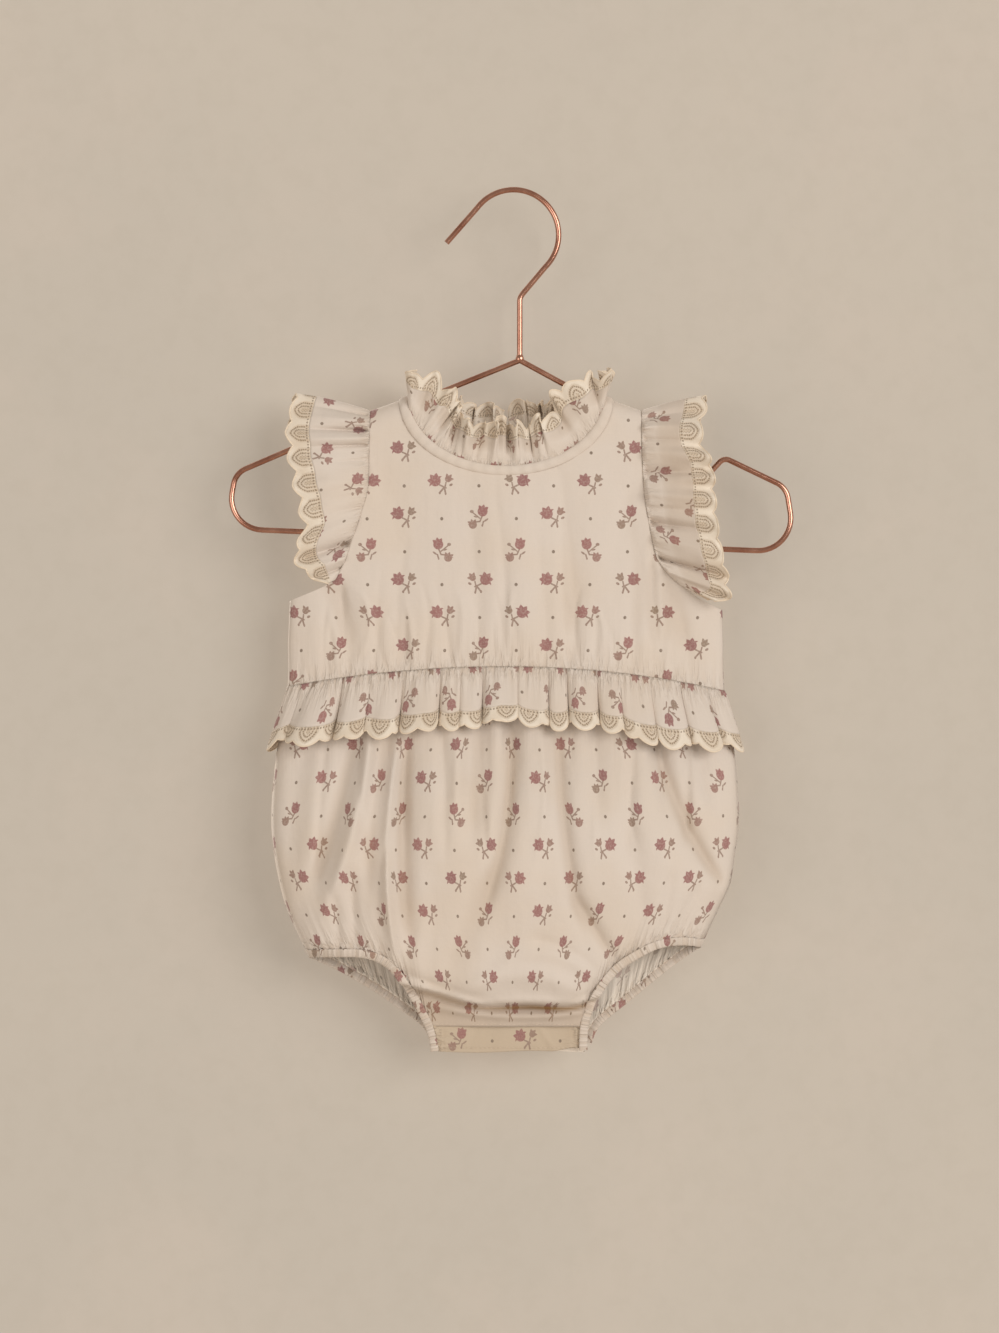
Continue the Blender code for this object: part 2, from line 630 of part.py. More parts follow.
def turned_ends(rows, side):
    """The rows with one more column close to each end that lies on a side seam, so that the wall
    meets its neighbour squarely. side is -1 on a front piece and 1 on a back piece."""
    result = []
    above_row = rows[0]
    for row in rows:
        ends = []
        pairs = ((row[0], row[1], above_row[0]), (row[-1], row[-2], above_row[-1]))
        for end, inner, before in pairs:
            if on_seam(end):
                ends.append((end[0], end[1] + side * TURN, end[2]))
            else:
                ends.append(tuple(a + (b - a) * TURN_SHARE for a, b in zip(end, inner)))
            if on_seam(end) and not on_seam(before):
                end = (end[0], end[1] + side * GAP, end[2])
            ends.append(end)
        result.append([ends[1], ends[0], *row[1:-1], ends[2], ends[3]])
        above_row = row
    return result


def turned_top(rows, side):
    """The rows with one more row close to the top one, so that the wall at the shoulder seam
    meets its neighbour squarely."""
    turned = []
    for top, below in zip(rows[0], rows[1]):
        if on_seam(top):
            turned.append((top[0], top[1] + side * TURN, top[2]))
        else:
            turned.append(tuple(a + (b - a) * TURN_SHARE for a, b in zip(top, below)))
    return [rows[0], turned, *rows[1:]]


def on_seam(point):
    return abs(point[1] - column_at(point[2], "seam")) < 2 * GAP


def front_neck_edge():
    tip_left, tip_right = LEFT_ARMHOLE[0], RIGHT_ARMHOLE[0]
    turns = neck_turns(0, NECK_FRONT_CELLS, 0.25, 0.75)
    neck = [(point[0], point[2]) for point in (neck_point(0, turn) for turn in turns)]
    left = spaced((tip_left, neck[0]), SHOULDER_CELLS)
    right = spaced((neck[-1], tip_right), SHOULDER_CELLS)
    return left[:-1] + neck + right[1:]


def make_bodice_front(collection):
    top = front_neck_edge()
    columns = len(top) - 1
    left = side_edge(LEFT_ARMHOLE, LEFT_UNDERARM, "left")
    right = side_edge(RIGHT_ARMHOLE, RIGHT_UNDERARM, "right")
    left_x, right_x = left[-1][0], right[-1][0]
    bottom = []
    for k in range(columns + 1):
        x = left_x + (right_x - left_x) * k / columns
        bottom.append((x, waist_z(x)))
    grid = patch(top, bottom, left, right)
    points = raised(grid, lambda x, z: front_y(x, z, BODICE_FRONT_FOLDS, "bodice"))
    points = turned_top(turned_ends(points, -1), -1)
    cloth_piece("bodice_front", points, collection, PRINTED_COTTON)


def make_bodice_back(collection):
    halves = (
        ("bodice_back_left", LEFT_ARMHOLE, LEFT_UNDERARM, "left", 0.25, BACK_SLIT / 2, CENTRE_X - GAP / 2),
        ("bodice_back_right", RIGHT_ARMHOLE, RIGHT_UNDERARM, "right", 0.75, 1 - BACK_SLIT / 2,
         CENTRE_X + GAP / 2),
    )
    for name, armhole, underarm, column, shoulder_turn, centre_turn, centre_x in halves:
        turns = neck_turns(0, NECK_BACK_CELLS, shoulder_turn, centre_turn)
        neck = [(point[0], point[2]) for point in (neck_point(0, turn) for turn in turns)]
        neck[-1] = (centre_x, neck[-1][1])
        top = spaced((armhole[0], neck[0]), SHOULDER_CELLS)[:-1] + neck
        columns = len(top) - 1
        side = side_edge(armhole, underarm, column)
        side_x = side[-1][0]
        centre = spaced((neck[-1], (centre_x, WAIST_Z)), len(side) - 1)
        bottom = []
        for k in range(columns + 1):
            x = side_x + (centre_x - side_x) * k / columns
            bottom.append((x, waist_z(x)))
        grid = patch(top, bottom, side, centre)
        points = raised(grid, lambda x, z: back_y(x, z, BODICE_BACK_FOLDS, "bodice"))
        points = turned_top(turned_ends(points, 1), 1)
        if column == "left":
            points = reversed_rows(points)
        cloth_piece(name, points, collection, PRINTED_COTTON)


# --- neck ---

def neck_height(turn):
    forward = -math.cos(TAU * turn)
    full = NECK_FRONT_HEIGHT if forward > 0 else NECK_BACK_HEIGHT
    return NECK_SIDE_HEIGHT + (full - NECK_SIDE_HEIGHT) * abs(forward) ** 1.4


def neck_frill_point(turn, share, up):
    """A point of the ruffle, which stands square to the neck ring. up is 0 at the binding and 1 at
    the lace's free edge."""
    inset = BINDING_WIDTH + SEAM_EASE
    here = Vector(neck_point(inset, turn))
    along = Vector(neck_point(inset, turn + 0.004)) - Vector(neck_point(inset, turn - 0.004))
    along.normalize()
    vertical = Vector((0, 0, 1))
    rise = (vertical - along * along.z).normalized()
    rise = rise.lerp(vertical, NECK_UPRIGHT).normalized()
    outward = along.cross(rise).normalized()
    side, back = abs(math.sin(TAU * turn)), max(math.cos(TAU * turn), 0)
    lean = NECK_LEAN["side"] * side ** 2 + NECK_LEAN["back"] * back ** 2 + NECK_LEAN["front"] * (1 - side)
    depth = ROOT_WAVE + (NECK_DEPTH - ROOT_WAVE) * up ** 0.8
    wave = depth * math.sin(wave_phase(share, NECK_WAVES)) * (1 - 0.35 * side)
    height = neck_height(turn) * up
    return tuple(here + rise * height + outward * (lean * height + wave))


def make_neck(collection):
    turns = (neck_turns(0, NECK_BACK_CELLS, BACK_SLIT, 0.25)[:-1]
             + neck_turns(0, NECK_FRONT_CELLS, 0.25, 0.75)
             + neck_turns(0, NECK_BACK_CELLS, 0.75, 1 - BACK_SLIT)[1:])
    band = [[neck_point(BINDING_WIDTH, turn) for turn in turns],
            [neck_point(EASE, turn) for turn in turns]]
    cloth_piece("neck_binding", band, collection, PLAIN_COTTON, BAND, 0.25)
    columns = NECK_COLUMNS
    turns = neck_turns(BINDING_WIDTH, columns, BACK_SLIT, 1 - BACK_SLIT)
    lace_from = 1 - NECK_LACE_SHARE
    frill = [[neck_frill_point(turn, j / columns, up * lace_from) for j, turn in enumerate(turns)]
             for up in (1.0, 0.5, 0.0)]
    cloth_piece("neck_ruffle", frill, collection, PRINTED_COTTON, LACE, 0.5)
    lace = []
    for up in (1.0, 0.0):
        row = []
        for j, turn in enumerate(turns):
            arch = abs(math.sin(math.pi * NECK_SCALLOPS * j / columns))
            reach = 1 - NECK_SCALLOP_SHARE * (1 - arch) if up else lace_from + LACE_EASE / neck_height(turn)
            row.append(neck_frill_point(turn, j / columns, reach))
        lace.append(row)
    cloth_piece("neck_lace", lace, collection, COTTON_LACE, LACE, 0.5)


# --- peplum ---

def section_shares(columns, depth_share=0.12):
    """Shares across, from -1 to 1, evenly spaced along a section's curve."""
    steps = 400
    run = []
    for k in range(steps + 1):
        angle = math.pi * k / steps
        spread = abs(math.cos(angle)) ** (2 / SECTION_POWER)
        run.append((math.copysign(spread, -math.cos(angle)),
                    depth_share * math.sin(angle) ** (2 / SECTION_POWER)))
    return [point[0] for point in spaced(run, columns)]


def peplum_point(share, j_share, down, front):
    """A point of the peplum. down is in mm below the waist seam."""
    middle = column_at(WAIST_SIDE_Z, "left") + column_at(WAIST_SIDE_Z, "right")
    half = (column_at(WAIST_SIDE_Z, "right") - column_at(WAIST_SIDE_Z, "left")) / 2
    top_x = middle / 2 + half * share
    z = waist_z(top_x) - 0.5 - down
    left, right = column_at(z, "left"), column_at(z, "right")
    x = (left + right) / 2 + (right - left) / 2 * share
    y = front_y(x, z) if front else back_y(x, z)
    round_part = roundness(share)
    normal = Vector((math.copysign(abs(share) ** 6, share), (-1 if front else 1) * (round_part + 1e-3)))
    normal.normalize()
    grown = down / PEPLUM_LENGTH
    shrink = 0.45 + 0.55 * min(round_part * 1.25, 1)
    wave = math.sin(wave_phase(j_share, PEPLUM_WAVES) + (0 if front else 1.3))
    depth = ROOT_WAVE + (PEPLUM_DEPTH - ROOT_WAVE) * min(grown, 1.2)
    off = PEPLUM_ROOT + PEPLUM_FLARE * grown + depth * wave
    off *= shrink
    return (x + normal.x * off, y + normal.y * off, z)


def make_peplum(collection):
    for name, front, columns in (("front", True, PEPLUM_FRONT_COLUMNS), ("back", False, PEPLUM_BACK_COLUMNS)):
        shares = section_shares(columns)
        if not front:
            shares = shares[::-1]
        strip = [[peplum_point(share, j / columns, PEPLUM_LENGTH * down, front)
                  for j, share in enumerate(shares)] for down in (0.0, 0.5, 1.0)]
        side = -1 if front else 1
        cloth_piece("peplum_" + name, turned_ends(strip, side), collection, PRINTED_COTTON, LACE, 0.5)
        lace = []
        for foot in (0, 1):
            row = []
            for j, share in enumerate(shares):
                arch = abs(math.sin(math.pi * PEPLUM_SCALLOPS * j / columns))
                reach = PEPLUM_LACE - SCALLOP_DEPTH * (1 - arch) if foot else EASE
                row.append(peplum_point(share, j / columns, PEPLUM_LENGTH + reach, front))
            lace.append(row)
        cloth_piece("peplum_lace_" + name, turned_ends(lace, side), collection, COTTON_LACE, LACE, 0.5)


# --- sleeves ---

def armhole_run(armhole, outward):
    """The armhole's edge in space, from the front's lower end over the shoulder to the back's."""
    run = smooth_run(armhole[::-1])
    eased_run = []
    for i, (x, z) in enumerate(run):
        before, after = Vector(run[max(i - 1, 0)]), Vector(run[min(i + 1, len(run) - 1)])
        ahead = (after - before).normalized()
        eased_run.append((x + outward * ahead.y * SEAM_EASE, z - outward * ahead.x * SEAM_EASE, x, z))
    front = [(x, front_y(*panel), z) for x, z, *panel in eased_run]
    back = [(x, back_y(*panel), z) for x, z, *panel in eased_run]
    tip_x, tip_z = armhole[0]
    over = (tip_x + outward * SEAM_EASE, column_at(tip_z, "seam"), tip_z)
    return front + [over] + back[::-1]


def sleeve_edge_at(edge, share):
    """The outer edge at a share of the armhole. The back half mirrors the front, a little shorter."""
    behind = share > 0.5
    along = 1 - share if behind else share
    rows = [dict(zip(SLEEVE_COLUMNS, row)) for row in edge]
    run = [(row["x"], row["y"], row["z"]) for row in rows]
    shares = [row["share"] for row in rows]
    i = next((k for k in range(len(edge) - 2) if along <= shares[k + 1]), len(edge) - 2)
    t = (along - shares[i]) / (shares[i + 1] - shares[i])
    before = run[max(i - 1, 0)]
    after = run[min(i + 2, len(run) - 1)]
    x, y, z = (0.5 * (2 * b + (c - a) * t + (2 * a - 5 * b + 4 * c - d) * t * t
                      + (3 * b - a - 3 * c + d) * t ** 3)
               for a, b, c, d in zip(before, run[i], run[i + 1], after))
    if behind:
        drawn_in = SLEEVE_BACK["drawn_in"] * eased((share - 0.5) / 0.2)
        back_y_place = SLEEVE_BACK["depth"] * y + SLEEVE_BACK["offset"]
        return (x - math.copysign(drawn_in, x), back_y_place, z + drawn_in * 0.6)
    return (x, y, z)


def sleeve_point(inner, outer, share, width_share, folds):
    """A point of the sleeve between its seam and its free edge."""
    behind = share > 0.5
    along = 1 - share if behind else share
    point = [a + (b - a) * width_share for a, b in zip(inner, outer)]
    push = SLEEVE_CROWN * math.sin(math.pi * width_share) * (1 - eased((along - 0.40) / 0.1))
    for row in folds:
        fold = dict(zip(SLEEVE_FOLD_COLUMNS, row))
        reach = eased(1 - width_share / (fold["reach"] + 0.35)) * eased(width_share / 0.06)
        size = fold["height"] * (0.7 if behind else 1.0)
        push += size * reach * math.exp(-((along - fold["share"]) / fold["width"]) ** 2)
    facing = 1 if behind else -1
    lift = eased((along - 0.44) / 0.06)
    point[1] += facing * push * (1 - lift)
    point[2] += push * lift + 1.2 * lift * math.sin(math.pi * width_share)
    return tuple(point)


def make_sleeve(name, armhole, edge, folds, outward, collection):
    columns = SLEEVE_CELLS
    run = spaced(armhole_run(armhole, outward), columns)
    cloth_rows = [[] for _ in range(4)]
    lace_rows = [[] for _ in range(2)]
    for j in range(columns + 1):
        share = j / columns
        inner = run[j]
        outer = sleeve_edge_at(edge, share)
        width = max(math.dist(inner, outer), 1e-6)
        lace = min(SLEEVE_LACE, 0.5 * width)
        junction = 1 - lace / width
        for i, row in enumerate(cloth_rows):
            row.append(sleeve_point(inner, outer, share, junction * i / 3, folds))
        arch = abs(math.sin(math.pi * SLEEVE_SCALLOPS * share))
        free = 1 - SCALLOP_DEPTH * (1 - arch) / width * lace / SLEEVE_LACE
        for row, width_share in zip(lace_rows, (junction + SEAM_EASE / width, free)):
            row.append(sleeve_point(inner, outer, share, width_share, folds))
    if outward < 0:
        cloth_rows = reversed_rows(cloth_rows)
        lace_rows = reversed_rows(lace_rows)
    cloth_piece("sleeve_" + name, cloth_rows, collection, PRINTED_COTTON, LACE, 0.5)
    cloth_piece("sleeve_lace_" + name, lace_rows, collection, COTTON_LACE, LACE, 0.5)


# --- bubble bottom ---

def set_back(path, distance, turn):
    """The path moved square to itself, towards the cloth above it, and straight up at its first
    point, which is on the side seam. turn is 1 for a left leg and -1 for a right one."""
    moved = []
    for i, point in enumerate(path):
        ahead = Vector(path[min(i + 1, len(path) - 1)]) - Vector(path[max(i - 1, 0)])
        square = Vector((-ahead.y, ahead.x)).normalized() * turn
        square = square.lerp(Vector((0, 1)), 1 - eased(i / 3)).normalized()
        moved.append((point[0] + square.x * distance, point[1] + square.y * distance))
    side = "left" if turn > 0 else "right"
    moved[0] = (column_at(moved[0][1], side), moved[0][1])
    return moved


def leg_edge(leg, cells, turn, distance):
    """Points along a leg opening, set back from its free edge."""
    return set_back(spaced(smooth_run(leg), cells), distance, turn)


def above(path, z):
    """The part of a path above height z, ending on it."""
    kept = [point for point in path if point[1] > z + 0.2]
    low = path[len(kept)]
    t = (z - kept[-1][1]) / (low[1] - kept[-1][1])
    return kept + [(kept[-1][0] + (low[0] - kept[-1][0]) * t, z)]


def make_bottom(collection):
    sides = (
        ("bottom_front", LEFT_LEG_FRONT, RIGHT_LEG_FRONT, front_y, BOTTOM_FRONT_FOLDS,
         FRONT_BOTTOM_CELLS),
        ("bottom_back", LEFT_LEG_BACK, RIGHT_LEG_BACK, back_y, BOTTOM_BACK_FOLDS, BACK_BOTTOM_CELLS),
    )
    for name, left_leg, right_leg, depth, folds, cells in sides:
        crotch_cells, rows = cells
        left_free = above(leg_edge(left_leg, LEG_CELLS, 1, CASING_WIDTH + SEAM_EASE), CROTCH_SEAM_Z)
        right_free = above(leg_edge(right_leg, LEG_CELLS, -1, CASING_WIDTH + SEAM_EASE), CROTCH_SEAM_Z)[::-1]
        crotch = spaced((left_free[-1], right_free[0]), crotch_cells)
        bottom = left_free[:-1] + crotch + right_free[1:]
        columns = len(bottom) - 1
        left_x, right_x = column_at(WAIST_SIDE_Z, "left"), column_at(WAIST_SIDE_Z, "right")
        top = []
        for k in range(columns + 1):
            x = left_x + (right_x - left_x) * k / columns
            top.append((x, waist_z(x) - GAP))
        edges = []
        for column, start, end in (("left", top[0], bottom[0]), ("right", top[-1], bottom[-1])):
            heights = [start[1] + (end[1] - start[1]) * i / rows for i in range(rows + 1)]
            edges.append([(column_at(z, column), z) for z in heights])
        grid = patch(top, bottom, *edges)
        points = raised(grid, lambda x, z, depth=depth, folds=folds: depth(x, z, folds, "bottom"))
        points = turned_ends(points, -1 if depth is front_y else 1)
        if depth is back_y:
            points = reversed_rows(points)
        cloth_piece(name, points, collection, PRINTED_COTTON)


def make_casings(collection):
    casings = (
        ("leg_casing_front_left", LEFT_LEG_FRONT, front_y, 1),
        ("leg_casing_front_right", RIGHT_LEG_FRONT, front_y, -1),
        ("leg_casing_back_left", LEFT_LEG_BACK, back_y, 1),
        ("leg_casing_back_right", RIGHT_LEG_BACK, back_y, -1),
    )
    for name, leg, depth, turn in casings:
        side = -1 if depth is front_y else 1
        rows = []
        for distance in (CASING_WIDTH, 0.0):
            path = leg_edge(leg, LEG_CELLS, turn, distance)
            rows.append([(x, depth(x, z), z) for x, z in path])
        rows = turned_ends(rows, side)
        if turn == side:
            rows = reversed_rows(rows)
        cloth_piece(name, rows, collection, PRINTED_COTTON, BAND, 0.25)


def make_placket(collection):
    layers = (
        ("placket_front", LEFT_LEG_FRONT, RIGHT_LEG_FRONT, PLACKET_FRONT_Y, False),
        ("placket_back", LEFT_LEG_BACK, RIGHT_LEG_BACK, PLACKET_BACK_Y, True),
    )
    for name, left_leg, right_leg, y, behind in layers:
        left = leg_edge(left_leg, LEG_CELLS, 1, CASING_WIDTH + 2 * SEAM_EASE)
        right = leg_edge(right_leg, LEG_CELLS, -1, CASING_WIDTH + 2 * SEAM_EASE)
        rows = []
        for i in range(3):
            z = PLACKET_TOP + (PLACKET_FOOT - PLACKET_TOP) * i / 2
            foot = max(z, left[-1][1], right[-1][1])
            start, end = above(left, foot)[-1][0], above(right, foot)[-1][0]
            wave = PLACKET_HEM_WAVE if i else 0.0
            rows.append([(start + (end - start) * k / PLACKET_CELLS, y,
                          z + wave * math.sin(PLACKET_HEM_TURN * k))
                         for k in range(PLACKET_CELLS + 1)])
        if behind:
            rows = reversed_rows(rows)
        cloth_piece(name, rows, collection, PRINTED_COTTON)
    inside_front = PLACKET_FRONT_Y + CLOTH + GAP
    inside_back = PLACKET_BACK_Y - CLOTH - GAP
    for number, x in enumerate(STUD_XS, 1):
        name = f"press_stud_{number}"
        bpy.ops.mesh.primitive_cylinder_add(
            vertices=16, radius=STUD_RADIUS * MM, depth=(inside_back - inside_front) * MM,
            location=Vector((x, (inside_front + inside_back) / 2, (PLACKET_TOP + PLACKET_FOOT) / 2)) * MM,
            rotation=(math.pi / 2, 0, 0))
        take_over(bpy.context.object, name, collection, STEEL)


def take_over(obj, name, collection, look):
    """Names an object that an operator made and moves it to the part's collection."""
    obj.name = name
    obj.data.name = name
    for owner in obj.users_collection:
        owner.objects.unlink(obj)
    obj.data.shade_smooth()
    obj.data.set_sharp_from_angle(angle=math.radians(40))
    add(obj, collection, look)


def make_button(collection):
    centre_x, centre_z = CENTRE_X - BUTTON_OFFSET, BUTTON_Z
    y = back_y(centre_x, centre_z) + GAP
    bpy.ops.mesh.primitive_cylinder_add(
        vertices=20, radius=BUTTON_RADIUS * MM, depth=BUTTON_THICK * MM,
        location=Vector((centre_x, y + BUTTON_THICK / 2, centre_z)) * MM,
        rotation=(math.pi / 2, 0, 0))
    take_over(bpy.context.object, "neck_button", collection, SHELL_BUTTON)
    reach = BUTTON_RADIUS + LOOP_WIRE + GAP
    root_x = centre_x + reach + LOOP_ROOT
    path = [(root_x, y + LOOP_WIRE, centre_z + LOOP_SPREAD)]
    for k in range(LOOP_CELLS + 1):
        angle = math.radians(LOOP_START + LOOP_SWEEP * k / LOOP_CELLS)
        path.append((centre_x + reach * math.cos(angle), y + LOOP_WIRE, centre_z + reach * math.sin(angle)))
    path.append((root_x, y + LOOP_WIRE, centre_z - LOOP_SPREAD))
    wire_piece("neck_loop", path, collection, PLAIN_COTTON, LOOP_WIRE)


def main():
    for obj in list(bpy.data.objects):
        bpy.data.objects.remove(obj)
    collection = bpy.data.collections.new("baby_romper_on_hanger")
    bpy.context.scene.collection.children.link(collection)
    make_hanger(collection)
    make_bodice_front(collection)
    make_bodice_back(collection)
    make_neck(collection)
    make_peplum(collection)
    make_sleeve("left", LEFT_ARMHOLE, LEFT_SLEEVE_EDGE, LEFT_SLEEVE_FOLDS, -1, collection)
    make_sleeve("right", RIGHT_ARMHOLE, RIGHT_SLEEVE_EDGE, RIGHT_SLEEVE_FOLDS, 1, collection)
    make_bottom(collection)
    make_casings(collection)
    make_placket(collection)
    make_button(collection)


main()
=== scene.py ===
import math
import bmesh
import bpy
import numpy as np
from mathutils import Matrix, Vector


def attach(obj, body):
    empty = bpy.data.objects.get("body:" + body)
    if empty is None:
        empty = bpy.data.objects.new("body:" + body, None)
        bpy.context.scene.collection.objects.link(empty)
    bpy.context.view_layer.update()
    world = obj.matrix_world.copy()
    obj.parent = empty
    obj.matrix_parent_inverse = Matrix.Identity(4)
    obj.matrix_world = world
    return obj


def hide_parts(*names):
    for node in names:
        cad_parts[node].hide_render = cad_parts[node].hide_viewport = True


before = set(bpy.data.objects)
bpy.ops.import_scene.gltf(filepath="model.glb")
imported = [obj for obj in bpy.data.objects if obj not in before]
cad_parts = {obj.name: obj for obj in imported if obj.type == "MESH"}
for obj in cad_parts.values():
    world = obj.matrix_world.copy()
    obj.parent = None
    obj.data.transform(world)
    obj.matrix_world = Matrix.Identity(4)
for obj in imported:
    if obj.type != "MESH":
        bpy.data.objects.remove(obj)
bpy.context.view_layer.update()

mm = 0.001
tau = 2 * math.pi
made = []

# the garment's form, in millimetres from the inside top of the hook

form = {
    "centreX": -3.2, "neckHalf": 57, "neckPointZ": -111.9, "shoulderSlope": 0.352,
    "shoulderRoll": 12, "frontNeckZ": -152.4, "backNeckZ": -138.5,
    "waistZ": -255.2, "archLeft": 0.00078, "archRight": 0.00095, "power": 2.6,
    "creaseX": 8, "creaseZ": -437, "creaseRise": 0.0026, "edge": 0.06, "foldZ": -434, "ticks": (-117, 111),
}
sectionColumns = ("z", "left", "right", "seam", "front", "back")
sections = np.array((
    (-108, -119, 112.6, -1, 10.5, 8), (-215, -119.3, 112.9, -1, 11.5, 8.5), (-240, -120.2, 113.5, -1.2, 12, 9),
    (-267, -120.6, 114.1, -1.5, 13.5, 9.8), (-300, -126.2, 119.4, -3, 20, 13.5), (-322, -128.5, 121.2, -4.5, 26, 16),
    (-340, -129, 121.6, -5.5, 29, 17.5), (-356, -127.4, 119.4, -6, 30, 18), (-371, -124.6, 117, -6, 29, 17.5),
    (-385, -120.6, 110.6, -6, 26.5, 16), (-404, -112, 101.8, -6, 23, 13.5), (-420, -104, 95, -6, 20, 11),
    (-427, -100.4, 91.4, -6, 18, 9.5), (-431.8, -98.1, 89.1, -6, 16.6, 8.3), (-433.2, -97.4, 88.4, -6, 8.4, 8.1),
    (-434.8, -96.6, 87.8, -6, 6.2, 7.8), (-437.6, -94.9, 86.7, -6, 8, 7), (-448, -90, 84, -6, 5, 4),
    (-462, -84, 80, -6, 2, 2.4),
))
armholes = {
    "left": ((-76.3, -117.6), (-76.8, -142), (-77.4, -160), (-80.6, -172),
             (-85.5, -186.5), (-90, -199.5), (-95, -208.5)),
    "right": ((69.6, -117.5), (69.8, -142), (71.4, -165), (74.2, -182),
              (77.5, -196), (83, -204.5), (90.9, -211.4)),
}
underarms = {
    "left": ((-95, -208.5), (-104, -213.4), (-119.3, -219.5)),
    "right": ((90.9, -211.4), (100, -218.4), (112.9, -224.6)),
}
legs = {
    "frontLeft": ((-109, -410.6), (-97.8, -409.8), (-79, -409.9), (-66.7, -415.2),
                  (-57, -428), (-49.5, -442), (-45.3, -451.5), (-43.6, -461.2)),
    "backLeft": ((-109, -410.8), (-92.5, -418.8), (-75.3, -428.7), (-59.5, -439.5),
                 (-47, -449.5), (-43.4, -460.6)),
    "frontRight": ((101.4, -405), (92, -403.4), (80.5, -404.2), (70.5, -408.2),
                   (57, -417), (46.5, -431), (41.2, -446), (40.4, -460.2)),
    "backRight": ((101.4, -405.4), (92.5, -411.4), (80, -421), (63.5, -434.5),
                  (47.5, -447.5), (42.6, -457.4)),
}


def joined(*parts):
    # coordinates that are given apart, as one array of points
    return np.stack(np.broadcast_arrays(*parts), axis=-1)


def downwards(start, end, count):
    # even values, one for each row of a piece
    return np.linspace(start, end, count)[:, None]


def unit(rows):
    return rows / np.linalg.norm(rows, axis=-1, keepdims=True)


def sectionAt(z, column):
    # a smooth curve down through the sections
    heights, values = sections[:, 0], sections[:, sectionColumns.index(column)]
    z = np.clip(np.asarray(z, float), heights[-1], heights[0])
    last = len(heights) - 1
    i = np.clip(np.searchsorted(-heights, -z, side="left") - 1, 0, last - 1)
    span = heights[i + 1] - heights[i]

    def slope(k):
        lo, hi = np.maximum(k - 1, 0), np.minimum(k + 1, last)
        return (values[hi] - values[lo]) / (heights[hi] - heights[lo]) * span

    t, rise = (z - heights[i]) / span, values[i + 1] - values[i]
    s0, s1 = slope(i), slope(i + 1)
    return values[i] + s0 * t + (3 * rise - 2 * s0 - s1) * t * t + (s0 + s1 - 2 * rise) * t ** 3


def eased(t):
    t = np.clip(t, 0, 1)
    return t * t * (3 - 2 * t)


def bell(off):
    return np.exp(-off ** 2)


def smoothRun(points, steps=24):
    points = np.array(points, float)
    run = []
    for i in range(len(points) - 1):
        a, b, c, d = (points[min(max(i + k, 0), len(points) - 1)] for k in (-1, 0, 1, 2))
        for t in np.arange(steps) / steps:
            run.append(0.5 * (2 * b + (c - a) * t + (2 * a - 5 * b + 4 * c - d) * t * t
                              + (3 * b - a - 3 * c + d) * t ** 3))
    return np.array(run + [points[-1]])


def lengthsOf(run):
    steps = np.linalg.norm(np.diff(run, axis=0), axis=1)
    return np.concatenate(([0], np.cumsum(steps)))


def sharesOf(run):
    lengths = lengthsOf(run)
    return lengths / lengths[-1]


def placed(run, shares):
    # points at the given shares of a run's length
    return joined(*(np.interp(shares, sharesOf(run), part) for part in np.asarray(run, float).T))


def shoulderZ(off):
    return form["neckPointZ"] - (np.abs(off) - form["neckHalf"]) * form["shoulderSlope"]


def roundness(share):
    return (1 - np.minimum(np.abs(share), 1) ** form["power"]) ** (1 / form["power"])


def across(x, z):
    # -1 on the left side seam and 1 on the right one
    left, right = sectionAt(z, "left"), sectionAt(z, "right")
    return (2 * x - left - right) / (right - left)


def acrossX(share, z):
    left, right = sectionAt(z, "left"), sectionAt(z, "right")
    return (left + right) / 2 + (right - left) / 2 * share


def nearSides(x, z, share):
    # 1 over the panel, falling to 0 at its side seams
    return eased((1 - np.abs(across(x, z))) / share)


def overShoulder(x, z):
    below = (shoulderZ(x - form["centreX"]) - z) / form["shoulderRoll"]
    return np.sqrt(np.maximum(1 - (1 - np.clip(below, 0, 1)) ** 2, 0))


def throughThree(t, a, b, c):
    return 2 * (t - 0.5) * (t - 1) * a - 4 * t * (t - 1) * b + 2 * t * (t - 0.5) * c


def foldHeight(folds, x, z, taper=0, longer=1):
    # each fold: three points it runs through, its half width, height, how crisp it is and its lean
    total = np.zeros(np.broadcast(x, z).shape)
    for x0, z0, x1, z1, x2, z2, width, height, crisp, *lean in folds:
        if abs(z0 - z2) < abs(x0 - x2):
            along = (x - x0) / (x2 - x0)
            away = z - throughThree(along, z0, z1, z2)
        else:
            along = (z - z0) / (z2 - z0)
            away = x - throughThree(along, x0, x1, x2)
        along = along / longer
        fade = eased((along + 0.25) / 0.4) * eased((1.25 - along) / 0.4) * (1 - taper * np.clip(along, 0, 1))
        reach = width * (1 + sum(lean) * np.where(away < 0, 1, -1))
        total += height * fade * np.exp(-np.abs(away / reach) ** (2 - 0.9 * crisp))
    return total


def smallerFolds(seed, count, places, tops, lengths, widths, heights):
    # lesser creases between the main ones, no two alike
    rng = np.random.default_rng(seed)
    rows = []
    for _ in range(count):
        x, top = rng.uniform(*places), rng.uniform(*tops)
        length, lean = rng.uniform(*lengths), rng.normal(0, 0.06)
        bend = rng.normal(0, 1.6)
        height = rng.uniform(*heights) * rng.choice((-1, 1), p=(0.65, 0.35))
        rows.append((x, top, x + lean * length / 2 + bend, top - length / 2, x + lean * length, top - length,
                     rng.uniform(*widths), height, rng.uniform(0.1, 0.7), rng.uniform(-0.3, 0.3)))
    return tuple(rows)


def softWaves(x, z, seed, count, lengths, size):
    # broad uneven undulation of hanging cloth, mostly up and down
    rng = np.random.default_rng(seed)
    total = np.zeros(np.broadcast(x, z).shape)
    for _ in range(count):
        wave, lean = rng.uniform(*lengths), rng.normal(0, 0.28)
        total += np.sin(tau * (x * math.cos(lean) + z * math.sin(lean)) / wave + rng.uniform(0, tau))
    return total * size / math.sqrt(count)


